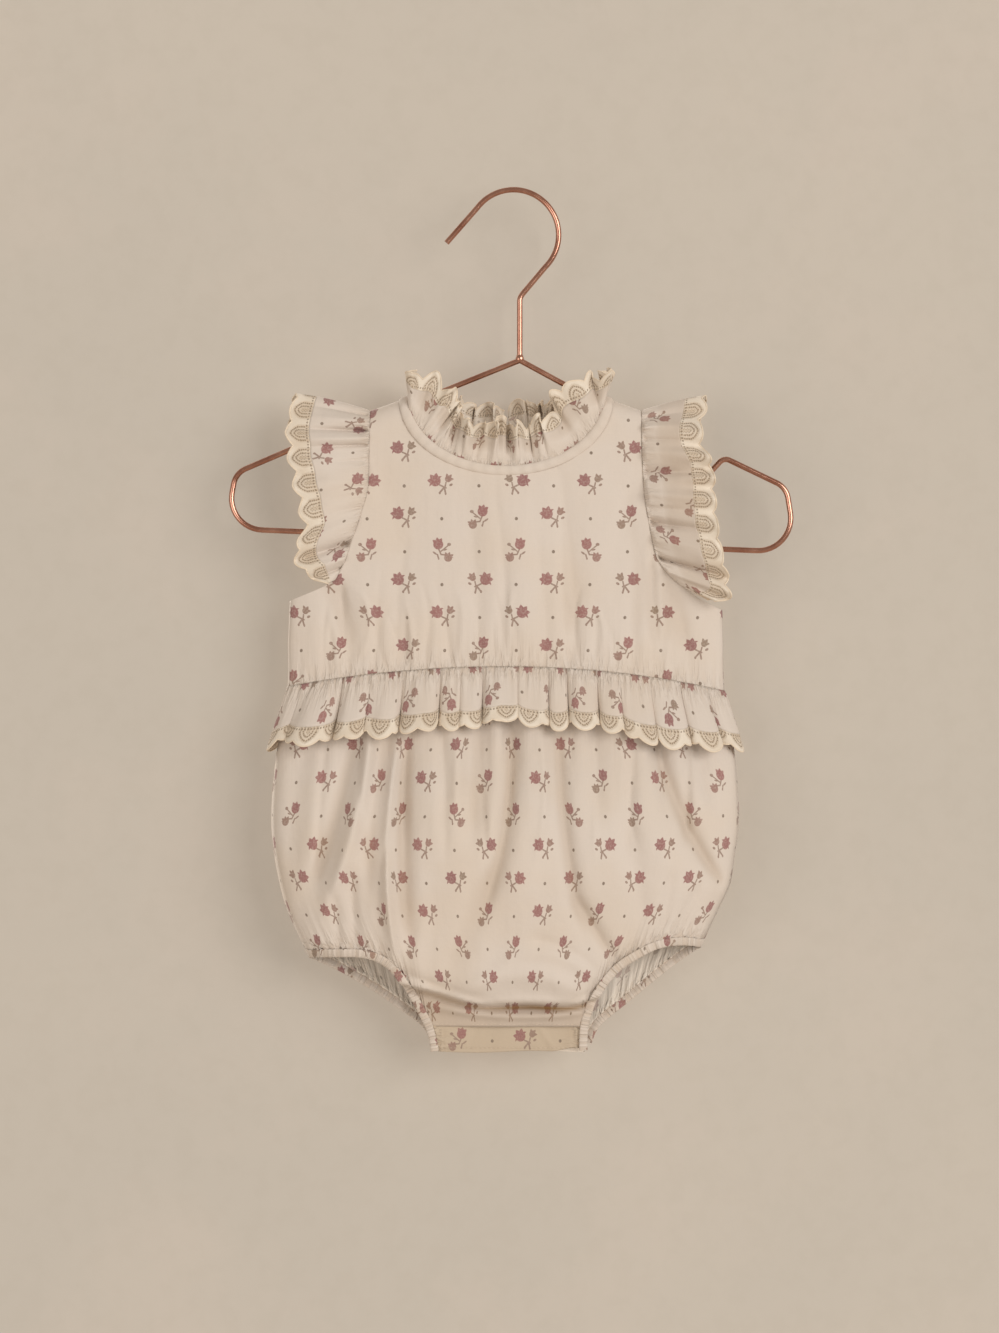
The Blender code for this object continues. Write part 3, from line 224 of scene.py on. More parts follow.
def creaseLine(x):
    # the height of the fold that hangs over the placket
    return form["creaseZ"] + form["creaseRise"] * (x - form["creaseX"]) ** 2 + 0.9 * np.sin(x * 0.13 + 0.6)


def frontY(x, z, bump=0):
    shift = (form["foldZ"] - creaseLine(x)) * eased((-398 - z) / 24)
    depth = sectionAt(z + shift, "front") * roundness(across(x, z)) * overShoulder(x, z)
    return sectionAt(z, "seam") - np.maximum(depth + bump, form["edge"])


def backY(x, z, bump=0):
    depth = sectionAt(z, "back") * roundness(across(x, z)) * overShoulder(x, z)
    return sectionAt(z, "seam") + np.maximum(depth + bump, form["edge"])


faceY = {"front": frontY, "back": backY}
facing = {"front": -1, "back": 1}
turning = {"left": -1, "right": 1}


def waistZ(x):
    off = x - form["centreX"]
    return form["waistZ"] - np.where(off < 0, form["archLeft"], form["archRight"]) * off * off


def seamFade(x, z, belowWaist):
    below = form["waistZ"] - 4 - z if belowWaist else z - form["waistZ"] + 12
    return np.minimum(1, 0.35 + 0.65 * eased(np.abs(below) / 22)) * nearSides(x, z, 0.07)


def neckRing(inset, turns):
    # turn is 0 at the centre back, 0.25 at the left shoulder and 0.5 at the centre front
    half = form["neckHalf"] - inset
    x = form["centreX"] - half * np.sin(tau * turns)
    forward = -np.cos(tau * turns)
    lowest = np.where(forward > 0, form["frontNeckZ"], form["backNeckZ"]) + inset
    z = shoulderZ(half) - (shoulderZ(half) - lowest) * np.abs(forward)
    return joined(x, np.where(forward > 0, frontY(x, z), backY(x, z)), z)


def evenTurns(inset, count, start, end):
    turns = np.linspace(start, end, 1200)
    return np.interp(np.linspace(0, 1, count), sharesOf(neckRing(inset, turns)), turns)


def wavePhase(share, waves, unevenness=0.34):
    drift = unevenness * (np.sin(tau * 2.3 * share + 0.7) + 0.6 * np.sin(tau * 5.1 * share + 2))
    return tau * waves * share + tau * drift


# shader building

class Wire:
    # one output in a node tree, worked with plain arithmetic

    def __init__(self, desk, socket):
        self.desk, self.socket = desk, socket

    def to(self, operation, *others, clamp=False):
        return self.desk.calc(operation, self, *others, clamp=clamp)

    def ramp(self, low, high, toLow=0, toHigh=1):
        values = (self, low, high, toLow, toHigh)
        return Wire(self.desk, self.desk.wired("ShaderNodeMapRange", values, interpolation_type="SMOOTHSTEP"))

    def __add__(self, other):
        return self.to("ADD", other)

    def __sub__(self, other):
        return self.to("SUBTRACT", other)

    def __rsub__(self, other):
        return self.desk.calc("SUBTRACT", other, self)

    def __mul__(self, other):
        return self.to("MULTIPLY", other)

    def __truediv__(self, other):
        return self.to("DIVIDE", other)

    def __pow__(self, other):
        return self.to("POWER", other)

    def __abs__(self):
        return self.to("ABSOLUTE")


class Desk:
    # lays nodes out in a tree and wires them

    def __init__(self, tree):
        self.tree, self.count = tree, 0

    def node(self, kind, **settings):
        new = self.tree.nodes.new(kind)
        new.location = (180 * (self.count % 9), -220 * (self.count // 9))
        self.count += 1
        for key, value in settings.items():
            setattr(new, key, value)
        return new

    def feed(self, socket, value):
        value = value.socket if isinstance(value, Wire) else value
        if isinstance(value, bpy.types.NodeSocket):
            self.tree.links.new(value, socket)
        elif value is not None:
            socket.default_value = value

    def feedAll(self, node, values):
        # values go in by name, or in order
        pairs = values.items() if isinstance(values, dict) else enumerate(values)
        for key, value in pairs:
            self.feed(node.inputs[key], value)

    def wired(self, kind, values, **settings):
        new = self.node(kind, **settings)
        self.feedAll(new, values)
        return new.outputs[0]

    def calc(self, operation, *values, clamp=False):
        return Wire(self, self.wired("ShaderNodeMath", values, operation=operation, use_clamp=clamp))

    def mix(self, share, a, b, blend="MIX"):
        # the factor and the colours, by their places in the node
        new = self.node("ShaderNodeMix", data_type="RGBA", blend_type=blend)
        self.feedAll(new, {0: share, 6: a, 7: b})
        return new.outputs[2]

    def noise(self, vector, scale, detail=2, roughness=0.5):
        return Wire(self, self.wired("ShaderNodeTexNoise", {
            "Vector": vector, "Scale": scale, "Detail": detail, "Roughness": roughness}))

    def split(self, vector):
        new = self.node("ShaderNodeSeparateXYZ")
        self.feed(new.inputs[0], vector)
        return [Wire(self, socket) for socket in new.outputs]

    def join(self, x, y, z=0):
        return self.wired("ShaderNodeCombineXYZ", (x, y, z))

    def named(self, node):
        return {socket.name: Wire(self, socket) for socket in node.outputs}

    def group(self, tree, **values):
        new = self.node("ShaderNodeGroup", node_tree=tree)
        self.feedAll(new, values)
        return self.named(new)

    def uv(self, name):
        return self.wired("ShaderNodeUVMap", (), uv_map=name)

    def body(self):
        return self.node("ShaderNodeTexCoord").outputs["Object"]

    def finish(self, shader, values, *bumps):
        # each bump: strength, distance in metres and height, laid one on another
        self.feedAll(shader, values)
        normal = None
        for strength, distance, height in bumps:
            normal = self.wired("ShaderNodeBump", {
                "Strength": strength, "Distance": distance, "Height": height, "Normal": normal})
        self.feed(shader.inputs["Normal"], normal)


def newGroup(name, given, results):
    # a shader group that takes plain numbers, or a vector where no number is given
    tree = bpy.data.node_groups.new(name, "ShaderNodeTree")
    for label, value in given.items():
        kind = "NodeSocketVector" if value is None else "NodeSocketFloat"
        socket = tree.interface.new_socket(name=label, in_out="INPUT", socket_type=kind)
        if value is not None:
            socket.default_value = value
    for label in results:
        tree.interface.new_socket(name=label, in_out="OUTPUT", socket_type="NodeSocketFloat")
    desk = Desk(tree)
    return desk, desk.named(desk.node("NodeGroupInput")), desk.node("NodeGroupOutput").inputs


def srgb(r, g, b):
    linear = [(c / 12.92 if c <= 0.04045 else ((c + 0.055) / 1.055) ** 2.4) for c in (r / 255, g / 255, b / 255)]
    return (*linear, 1)


def hypot(a, b):
    return (a * a + b * b).to("SQRT")


def turnedPlace(given):
    # the place along and beside the given turn, from the given centre
    x, y = given["X"] - given["Centre X"], given["Y"] - given["Centre Y"]
    cos, sin = given["Turn"].to("COSINE"), given["Turn"].to("SINE")
    return x * cos + y * sin, y * cos - x * sin


spotNames = ("Centre X", "Centre Y", "Half Width", "Half Height", "Turn")
strokeNames = ("X0", "Y0", "X1", "Y1", "Width")
budNames = ("Centre X", "Centre Y", "Size", "Turn", "Tip Step", "Spike", "Spread", "Taper")


def makeOvalSpot():
    # a filled oval, 1 inside and 0 outside, with a slightly soft edge
    desk, given, out = newGroup("ovalSpot", dict(zip(("X", "Y") + spotNames, (0, 0, 0, 0, 1, 1, 0))), ("Mask",))
    along, side = turnedPlace(given)
    desk.feed(out["Mask"], hypot(along / given["Half Width"], side / given["Half Height"]).ramp(1.1, 0.9))
    return desk.tree


def makeStroke():
    # a straight pen stroke between two points
    desk, given, out = newGroup("penStroke", dict(zip(("X", "Y") + strokeNames, (0, 0, 0, 0, 1, 1, 0.5))), ("Mask",))
    px, py = given["X"] - given["X0"], given["Y"] - given["Y0"]
    bx, by = given["X1"] - given["X0"], given["Y1"] - given["Y0"]
    t = (px * bx + py * by).to("DIVIDE", bx * bx + by * by, clamp=True)
    away = hypot(px - bx * t, py - by * t)
    desk.feed(out["Mask"], (away / given["Width"]).ramp(0.62, 0.38))
    return desk.tree


def makeBudShape():
    # a flower bud: a rounded cup whose far side ends in a crown of points
    desk, given, out = newGroup("budShape", dict(zip(
        ("X", "Y") + budNames, (0, 0, 0, 0, 2.5, 0, 0.6, 0.4, 1.2, 0.3))), ("Mask",))
    along, side = turnedPlace(given)
    reach, angle = hypot(along, side), side.to("ARCTAN2", along)
    step = (angle / given["Tip Step"] + 0.5).to("FRACT")
    point = 1 - abs(step - 0.5) * 2
    crown = point * given["Spike"] * abs(angle).to("LESS_THAN", given["Spread"])
    back = (1 - along / (reach + 0.001)) * (given["Taper"] * -0.5)
    size = given["Size"] * ((crown + 1) * (back + 1))
    desk.feed(out["Mask"], (reach / size).ramp(1.08, 0.92))
    return desk.tree


sprig = {
    "pitch": 40, "row": 17.6, "size": 1.08, "dotSize": 0.85, "across": -5.5, "down": 7.8,
    # side by side: buds are x, y, size, turn, tip step, spike, spread, taper
    "pair": {
        "big": ((-3, 1.5, 2.85, 2.25, 0.8, 0.46, 1.62, 0.12),),
        "small": ((3.2, 2.5, 1.75, 0.9, 0.9, 0.7, 1.35, 0.15),),
        "leaves": ((4.7, -0.3, 0.95, 0.6, 0.5),),
        "stems": ((-0.9, -0.4, 2.2, -1.8, 0.8), (2.2, 0.8, 1.6, -1.8, 0.75), (1.2, -1.7, -0.9, -4.2, 0.9),
                  (1.4, -1.7, 2, -4.6, 0.9)),
        "tips": ((-0.9, -4.3, 0.55, 0.7, 0), (2, -4.6, 0.5, 0.75, 0)),
    },
    "slanted": {
        "big": ((-1.8, 2.9, 2.35, 1.75, 0.74, 0.46, 1.15, -0.1),),
        "small": ((3.2, -3.4, 1.5, 1.3, 0.85, 0.7, 1.5, -0.6),),
        "leaves": ((1.6, 0.2, 1.1, 0.42, 0.25), (-3.5, -1.5, 1.3, 0.45, -0.6)),
        "stems": ((-1.6, 0.6, -0.4, -2.2, 0.75), (-0.4, -2.2, 2.4, -2.4, 0.75), (-2.2, -2.2, -1.6, -4.3, 0.75),
                  (-0.4, -0.6, 3.3, 2.4, 0.65)),
        "tips": ((3.6, 2.8, 0.95, 0.8, 0), (-1.6, -4.2, 0.45, 0.6, 0)),
    },
}


def makeSprigPrint():
    # two kinds of two-bud sprig on a half-drop lattice, with a dot between neighbours
    oval, stroke, bud = makeOvalSpot(), makeStroke(), makeBudShape()
    desk, given, out = newGroup("sprigPrint", {
        "Vector": None, "Pitch": sprig["pitch"], "Row": sprig["row"], "Dot Size": sprig["dotSize"],
    }, ("Big Bud", "Small Bud", "Stem", "Dot", "Cell"))
    u, v, _ = desk.split(given["Vector"])
    columns, rows = u / mm + sprig["across"], (v / mm + sprig["down"]) / given["Row"]
    row = rows.to("FLOOR")
    columns = columns / given["Pitch"] + row.to("FLOORED_MODULO", 2) * 0.5
    column = columns.to("FLOOR")
    x, y = (columns - column - 0.5) * given["Pitch"], (rows - row - 0.5) * given["Row"] / sprig["size"]
    cycle = row.to("FLOORED_MODULO", 4)
    mixed = cycle.to("COMPARE", 2, 0.1) * column.to("FLOORED_MODULO", 2)
    slanted = cycle.to("COMPARE", 1, 0.1).to("ADD", mixed, clamp=True)
    sign = 1 - (column + row).to("FLOORED_MODULO", 2) * 2
    px = x * sign / sprig["size"]
    shapes = {"big": (bud, budNames), "small": (bud, budNames), "leaves": (oval, spotNames),
              "tips": (oval, spotNames), "stems": (stroke, strokeNames)}

    def masked(motif, keys):
        total = None
        for key in keys:
            tree, names = shapes[key]
            for values in motif[key]:
                mask = desk.group(tree, X=px, Y=y, **dict(zip(names, values)))["Mask"]
                total = total.to("MAXIMUM", mask) if total else mask
        return total

    for name, keys in (("Big Bud", ["big"]), ("Small Bud", ["small"]), ("Stem", ["leaves", "tips", "stems"])):
        a, b = masked(sprig["pair"], keys), masked(sprig["slanted"], keys)
        desk.feed(out[name], a + (b - a) * slanted)
    spot = hypot(given["Pitch"] * 0.5 - abs(x), y + 0.8)
    desk.feed(out["Dot"], (spot / given["Dot Size"]).ramp(1.15, 0.85))
    desk.feed(out["Cell"], ((row * 7.31 + column * 3.17).to("SINE") * 43.7).to("FRACT"))
    return desk.tree


def makeWeave():
    # plain weave with uneven threads: a height for bump and a shade for colour
    desk, given, out = newGroup("plainWeave", {
        "Vector": None, "Threads Per Metre": 1500, "Slub": 0.5}, ("Height", "Shade"))
    u, v, _ = desk.split(given["Vector"])
    threads = given["Threads Per Metre"] * tau
    cross = (u * threads).to("SINE") * (v * threads).to("SINE")
    warp = desk.noise(desk.join(u * 1400, v * 90), 1, 1)
    weft = desk.noise(desk.join(u * 90, v * 1400, 3), 1, 1)
    slub = (warp + weft - 1) * given["Slub"]
    desk.feed(out["Height"], cross * 0.35 + slub)
    desk.feed(out["Shade"], slub)
    return desk.tree


fans = {"pitch": 14, "border": 1.7, "ringStep": 1.9, "point": 1.45, "eyePitch": 1.15, "net": 1.6, "rowZ": 1.2,
        "rowPitch": 1.7, "rowClear": 2.1}


def makeFans():
    # openwork lace: u counts scallops, v runs in millimetres from the seam to the free edge
    desk, given, out = newGroup("laceFans", {
        "Vector": None, "Pitch": fans["pitch"], "Width": 9.4, "Border": fans["border"],
        "Ring Step": fans["ringStep"]}, ("Holes", "Raised"))
    u, v, _ = desk.split(given["Vector"])
    pitch, step = given["Pitch"], given["Ring Step"]
    x, heart = (u.to("FRACT") - 0.5) * pitch, given["Width"] - pitch * 0.5
    y, below = (v - heart).to("MAXIMUM", 0), (heart - v).to("MAXIMUM", 0)
    # between a circle and a diamond, so the inner bands come to a soft point under the round edge
    reach = (abs(x) ** fans["point"] + y ** fans["point"]) ** (1 / fans["point"])
    rim = pitch * 0.5 - given["Border"]
    inward = (rim - reach) / step
    ring = rim - (inward.to("FLOOR") + 0.5) * step
    away = abs(reach - ring)
    length = abs(x.to("ARCTAN2", y)) * ring + below
    beside = abs((length / fans["eyePitch"]).to("FRACT") - 0.5) * fans["eyePitch"]
    onRings = inward.to("GREATER_THAN", 0) * inward.to("LESS_THAN", 2)
    eyes = hypot(away, beside).ramp(0.62, 0.22) * onRings
    net = ((x * (tau / fans["net"])).to("SINE") * (v * (tau / fans["net"])).to("SINE")).ramp(0.35, 0.75)
    net = net * inward.to("GREATER_THAN", 2) * 0.6
    gap = abs((u * (pitch / fans["rowPitch"])).to("FRACT") - 0.5) * fans["rowPitch"]
    rowHoles = hypot(v - fans["rowZ"], gap).ramp(0.62, 0.4)
    inner = eyes.to("MAXIMUM", net) * v.to("GREATER_THAN", fans["rowClear"])
    desk.feed(out["Holes"], inner.to("MAXIMUM", rowHoles))
    cords = (away * (tau / fans["ringStep"])).to("COSINE").to("MULTIPLY_ADD", -0.5, 0.5)
    desk.feed(out["Raised"], (cords * 0.6).to("MAXIMUM", (reach - rim).ramp(-0.3, 0.5)))
    return desk.tree


def newMaterial(name):
    material = bpy.data.materials.new(name)
    material.use_nodes = True
    return material, Desk(material.node_tree), material.node_tree.nodes["Principled BSDF"]


clothLook = {
    "ground": srgb(212, 200, 189), "warm": srgb(211, 197, 183), "gatherShade": srgb(178, 152, 124),
    "foldShade": srgb(138, 104, 54), "stem": srgb(152, 130, 118), "dot": srgb(132, 117, 104),
    "bigBud": (srgb(148, 107, 104), srgb(157, 114, 109)), "smallBud": (srgb(148, 129, 114), srgb(157, 124, 115)),
    "rough": 0.88, "shine": 0.25, "sheen": 0.12, "sheenRough": 0.6, "insideStrength": 0.5, "gatherShadeShare": 0.3,
    "threadShade": 0.05, "patches": 22, "wear": 900, "creases": 160, "drape": (52, 34, 9), "pleatLines": 430,
    "pleatSlant": 1.7,
    # how strong each relief is, and how high in metres
    "drapeBump": (0.22, 0.0022), "creaseBump": (0.35, 0.0009), "gatherBump": (0.7, 0.0012),
    "weaveBump": (0.1, 0.00012),
}


def makeCloth(name, inside=False, tone=None, printed=True):
    material, desk, shader = newMaterial(name)
    look, place, body = clothLook, desk.uv("clothUv"), desk.body()
    threads = desk.group(weaveTree, Vector=place)
    patchy = desk.noise(body, look["patches"], 3).ramp(0.35, 0.7)
    ground = desk.mix(patchy, tone or look["ground"], tone or look["warm"])
    shade = threads["Shade"].to("MULTIPLY_ADD", look["threadShade"], 0.985)
    ground = desk.mix(1, ground, desk.join(shade, shade, shade), "MULTIPLY")
    seam, close, _ = desk.split(desk.uv("gatherUv"))
    shaded, close = (close * -1).to("MAXIMUM", 0), close.to("MAXIMUM", 0)
    lines = desk.join(seam * look["pleatLines"], close * look["pleatSlant"])
    pleats = desk.noise(lines, 1, 2, 0.55).ramp(0.36, 0.62)
    if printed:
        marks = desk.group(printTree, Vector=place)
        wear = desk.noise(place, look["wear"]).ramp(0.25, 0.6, 0.72, 1) * (look["insideStrength"] if inside else 1)
        inks = {"Stem": look["stem"], "Dot": look["dot"], "Small Bud": desk.mix(marks["Cell"], *look["smallBud"]),
                "Big Bud": desk.mix(marks["Cell"], *look["bigBud"])}
        for mark, ink in inks.items():
            ground = desk.mix(marks[mark] * wear, ground, ink)
    # painted shade in the hollows between gathered pleats, strongest next to a gathered seam
    ground = desk.mix((1 - pleats) * close * look["gatherShadeShare"], ground, look["gatherShade"])
    hanging = desk.join(*(part * scale for part, scale in zip(desk.split(body), look["drape"])))
    # where the gather map is below 0 the base colour takes painted shade: under the fold over the placket and in the
    # sunken folds of panels and frills
    desk.finish(shader, {
        "Base Color": desk.mix(shaded, ground, look["foldShade"]), "Roughness": look["rough"],
        "Specular IOR Level": look["shine"], "Sheen Weight": look["sheen"], "Sheen Roughness": look["sheenRough"]},
        (*look["drapeBump"], desk.noise(hanging, 1, 2, 0.45).ramp(0.3, 0.66)),
        (*look["creaseBump"], desk.noise(body, look["creases"], 3, 0.55)),
        (*look["gatherBump"], pleats * close),
        (*look["weaveBump"], threads["Height"]))
    return material


laceLook = {
    "thread": (srgb(230, 219, 204), srgb(220, 206, 188)), "fibre": srgb(196, 174, 150),
    "low": srgb(184, 161, 134), "hole": srgb(146, 120, 95), "loose": 0.9, "clear": 0.35, "fibreShare": 0.22,
    "lowShadeShare": 0.6, "holeShadeShare": 0.5, "rough": 0.9, "shine": 0.2, "sheen": 0.15, "bump": (0.7, 0.0006),
}


def makeLace(name, width):
    material, desk, shader = newMaterial(name)
    look, body = laceLook, desk.body()
    u, v, _ = desk.split(desk.uv("laceUv"))
    loose = desk.noise(body, 900, 2, 0.6) - 0.5
    u, v = u + loose * (look["loose"] / fans["pitch"]), v + loose * look["loose"]
    openwork = desk.group(fanTree, Vector=desk.join(u, v), Pitch=fans["pitch"], Width=width)
    holes, high = openwork["Holes"], openwork["Raised"]
    fibre = desk.noise(body, 1300, 2, 0.6)
    thread = desk.mix(desk.noise(body, 60).ramp(0.35, 0.7), *look["thread"])
    thread = desk.mix(fibre * look["fibreShare"], thread, look["fibre"])
    # painted shade on the low parts of the lace between its raised cords
    thread = desk.mix((1 - high) * look["lowShadeShare"], thread, look["low"])
    # the holes are partly clear and painted darker: painted shade seen through them
    desk.finish(shader, {
        "Base Color": desk.mix(holes * look["holeShadeShare"], thread, look["hole"]), "Alpha": 1 - holes * look["clear"],
        "Roughness": look["rough"], "Specular IOR Level": look["shine"], "Sheen Weight": look["sheen"]},
        (*look["bump"], high + fibre * 0.5))
    return material


def makePlain(name, ground, rough, bumpScale, bumpSize, metallic=0):
    material, desk, shader = newMaterial(name)
    body = desk.body()
    darker = (*(c * 0.9 for c in ground[:3]), 1)
    desk.finish(shader, {
        "Base Color": desk.mix(desk.noise(body, 40, 3).ramp(0.35, 0.7), ground, darker), "Roughness": rough,
        "Metallic": metallic}, (0.4, bumpSize, desk.noise(body, bumpScale, 3)))
    return material


def makeRoseGold():
    material, desk, shader = newMaterial("roseGoldWire")
    body = desk.body()
    cloudy = desk.noise(body, 70, 3).ramp(0.3, 0.7)
    desk.finish(shader, {
        "Base Color": desk.mix(cloudy, srgb(198, 150, 130), srgb(170, 118, 99)), "Metallic": 1,
        "Roughness": desk.noise(body, 420, 3).ramp(0.2, 0.8, 0.17, 0.27)},
        (0.02, 0.00002, desk.noise(body, 2500, 1)))
    return material


weaveTree = makeWeave()
printTree = makeSprigPrint()
fanTree = makeFans()
printedCloth = makeCloth("printedCloth")
# a darker tone for the doubled placket cloth: painted shade, as it hangs turned down under the fold
shadedDoubleCloth = makeCloth("shadedDoubleCloth", tone=srgb(193, 176, 155))
# a paler tone for the inside of the cloth: partly its paler wrong side, partly painted light in the dim insides of the
# openings
clothInside = makeCloth("clothInside", inside=True, tone=srgb(234, 222, 208))
plainCloth = makeCloth("plainCloth", printed=False)
threadLook = makePlain("sewingThread", srgb(202, 187, 168), 0.8, 1800, 0.0002)
creamThread = makePlain("creamThread", srgb(216, 200, 182), 0.8, 1800, 0.0002)
cordLook = makePlain("laceCord", srgb(229, 212, 190), 0.9, 1500, 0.0003)
roseGold = makeRoseGold()
steelLook = makePlain("pressStudSteel", srgb(190, 186, 180), 0.32, 900, 0.00005, 1)
buttonLook = makePlain("shellButton", srgb(226, 212, 195), 0.28, 500, 0.00005)
laceNeck, lacePeplum, laceSleeve = makeLace("laceNeck", 9), makeLace("lacePeplum", 9.4), makeLace("laceSleeve", 12.4)
print("materials made")


# making pieces

def newMesh(name, verts, faces, materials):
    mesh = bpy.data.meshes.new(name)
    mesh.from_pydata([tuple(v) for v in verts], [], faces)
    for material in materials:
        mesh.materials.append(material)
    mesh.shade_smooth()
    return mesh


def linked(name, data):
    obj = bpy.data.objects.new(name, data)
    bpy.context.scene.collection.objects.link(obj)
    return obj


def heal(mesh, cap):
    # turns the faces outward, and first closes the seam and the ends of a band
    bm = bmesh.new()
    bm.from_mesh(mesh)
    if cap:
        bmesh.ops.remove_doubles(bm, verts=bm.verts, dist=1e-6)
        bmesh.ops.holes_fill(bm, edges=[e for e in bm.edges if e.is_boundary], sides=0)
    bmesh.ops.recalc_face_normals(bm, faces=bm.faces)
    bm.to_mesh(mesh)
    bm.free()
    mesh.shade_smooth()


def keep(obj, node, slot):
    made.append((obj, node, slot))


def meshPiece(name, points, uv, uvName, materials):
    # points: rows downwards, columns to the right as seen from outside
    index = np.arange(points[..., 0].size).reshape(points.shape[:2])
    quads = np.stack([index[:-1, :-1], index[1:, :-1], index[1:, 1:], index[:-1, 1:]], axis=-1).reshape(-1, 4)
    mesh = newMesh(name, (points.reshape(-1, 3) * mm).tolist(), quads.tolist(), materials)
    mapOn(mesh, uvName, uv, quads.reshape(-1))
    return linked(name, mesh)


def mapOn(mesh, name, places, corners):
    layer = mesh.uv_layers.new(name=name)
    layer.data.foreach_set("uv", places.reshape(-1, 2)[corners].astype(np.float32).reshape(-1))


def gatherMap(mesh, along, close):
    # a second map: the place along the nearest gathered seam, and how near that seam is (1 on it, 0 far off),
    # which sets the pleat relief and the painted shade between pleats; below 0 it tells how much painted shade a fold
    # lays on the cloth
    corners = np.empty(len(mesh.loops), dtype=np.int64)
    mesh.loops.foreach_get("vertex_index", corners)
    mapOn(mesh, "gatherUv", joined(along * mm, close), corners)
    mesh.uv_layers.active_index = 0


def cutSize(points):
    # the width, length and area that this grid of cloth was cut to, in metres
    p = points * mm
    width = float(np.linalg.norm(np.diff(p, axis=1), axis=2).sum(axis=1).max())
    drop = float(np.linalg.norm(np.diff(p, axis=0), axis=2).sum(axis=0).max())
    area = 0.5 * np.linalg.norm(np.cross(p[1:, 1:] - p[:-1, :-1], p[1:, :-1] - p[:-1, 1:]), axis=2).sum()
    return width, drop, float(min(area, width * drop))


# for each kind of cloth: its thickness, the part of it outside the surface, its slot, its map and its looks
clothKinds = {
    "panel": (0.7, 0, "printed_cotton", "clothUv", [printedCloth, clothInside]),
    "frill": (0.45, 0.5, "printed_cotton", "clothUv", [printedCloth, clothInside]),
    "double": (0.9, 0, "printed_cotton", "clothUv", [shadedDoubleCloth, clothInside]),
    "lace": (0.4, 0.5, "cotton_lace", "laceUv", None),
}
shortestCut = 0.0105


def clothPiece(kind, name, points, uv, node, flip=False, gather=None, looks=None):
    thick, outward, slot, mapName, kindLooks = clothKinds[kind]
    turned = slice(None, None, -1 if flip else 1)
    points = points[:, turned]
    obj = meshPiece(name, points, uv[:, turned], mapName, looks or kindLooks)
    if gather:
        gatherMap(obj.data, *(np.broadcast_to(part, points.shape[:2])[:, turned] for part in gather))
    wall = obj.modifiers.new("wall", "SOLIDIFY")
    wall.thickness, wall.offset = thick * mm, 2 * outward - 1
    wall.material_offset = len(obj.data.materials) - 1
    keep(obj, node, slot)
    width, drop, area = cutSize(points)
    drop = max(drop, shortestCut)
    print(f"{name}: cut {width * 1000:.0f} x {drop * 1000:.0f} mm, {area * 1e4:.0f} cm2")


def coons(top, bottom, left, right):
    # a patch of (x, z) points between four edges; left and right give its corners
    top, bottom = top.copy(), bottom.copy()
    top[0], top[-1], bottom[0], bottom[-1] = left[0], right[0], left[-1], right[-1]
    leftV, rightV = sharesOf(left)[:, None], sharesOf(right)[:, None]
    middle = (leftV + rightV) / 2
    u = sharesOf(top)[None, :] * (1 - middle) + sharesOf(bottom)[None, :] * middle
    v = leftV * (1 - u) + rightV * u
    u, v = u[..., None], v[..., None]
    sides = (1 - u) * left[:, None] + u * right[:, None]
    ends = (1 - v) * top[None] + v * bottom[None]
    return sides + ends - (1 - u) * ((1 - v) * left[0] + v * left[-1]) - u * ((1 - v) * right[0] + v * right[-1])


def raised(grid, depth):
    # (x, z) points lifted on to the cloth
    return joined(grid[..., 0], depth(grid[..., 0], grid[..., 1]), grid[..., 1])


def printPlace(points, depthOf, cutWidth=None):
    # where each point lies on the flat cloth: along the thread across, and down the thread
    x, z = points[..., 0], points[..., 2]
    shareX = np.linspace(-1, 1, 241)
    heights = np.linspace(z.max(), z.min(), 121)
    gridX = acrossX(shareX, heights[:, None])
    gridY = depthOf(gridX, np.broadcast_to(heights[:, None], gridX.shape))
    steps = np.hypot(np.diff(gridX, axis=1), np.diff(gridY, axis=1))
    run = np.concatenate([np.zeros((len(heights), 1)), np.cumsum(steps, axis=1)], axis=1)
    run -= np.array([[np.interp(form["centreX"], *row)] for row in zip(gridX, run)])
    if cutWidth:
        run *= (cutWidth / (run[:, -1] - run[:, 0]))[:, None]
    fi = np.clip((heights[0] - z) / (heights[0] - heights[-1]) * (len(heights) - 1), 0, len(heights) - 1.001)
    fj = np.clip((across(x, z) + 1) / 2 * (len(shareX) - 1), 0, len(shareX) - 1.001)
    i, j = fi.astype(int), fj.astype(int)
    a, b = fi - i, fj - j
    u = (run[i, j] * (1 - b) + run[i, j + 1] * b) * (1 - a) + (run[i + 1, j] * (1 - b) + run[i + 1, j + 1] * b) * a
    return joined(u, z) * mm


def waistTicks(x, z, seed, side):
    # short uneven gathers standing on the waist seam; side is 1 above the seam and -1 below it
    rng = np.random.default_rng(seed)
    off = (z - waistZ(x)) * side
    total = np.zeros(np.broadcast(x, z).shape)
    place, end = form["ticks"]
    while place < end:
        reach, width = rng.uniform(3.5, 13), rng.uniform(0.9, 1.9)
        lean, size = rng.normal(0, 0.07), rng.uniform(0.4, 1.15)
        total -= size * np.exp(-np.abs((x - place - lean * off) / width) ** 1.5) * bell(off / reach)
        place += rng.uniform(2.6, 6.2)
    return total


def paintFoldShade(close, bump, most, start, span):
    # painted shade a little into the colour where folds sink in, where no gathered seam is near
    return close - most * eased((-bump - start) / span) * (1 - eased(close / 0.3))


def panelFolds(panel, side, x, z):
    folds = foldHeight(panel[side + "Folds"] + panel[side + "Small"], x, z, *panel["fade"])
    return folds * seamFade(x, z, panel["below"]) * panel["depth"]


def panelDepth(panel, side):
    # a function that tells where the outside of the panel lies

    def depth(x, z):
        bump = panelFolds(panel, side, x, z)
        bump += softWaves(x, z, *panel[side + "Waves"]) * seamFade(x, z, panel["below"])
        ticks = waistTicks(x, z, panel[side + "Ticks"], -1 if panel["below"] else 1)
        bump += ticks * panel["tickSize"] * nearSides(x, z, 0.05)
        if not panel["below"]:
            # the seam keeps the cloth level right beside it
            bump *= 0.3 + 0.7 * eased(np.abs(z - waistZ(x)) / 5)
        return faceY[side](x, z, bump)

    return depth


# bodice

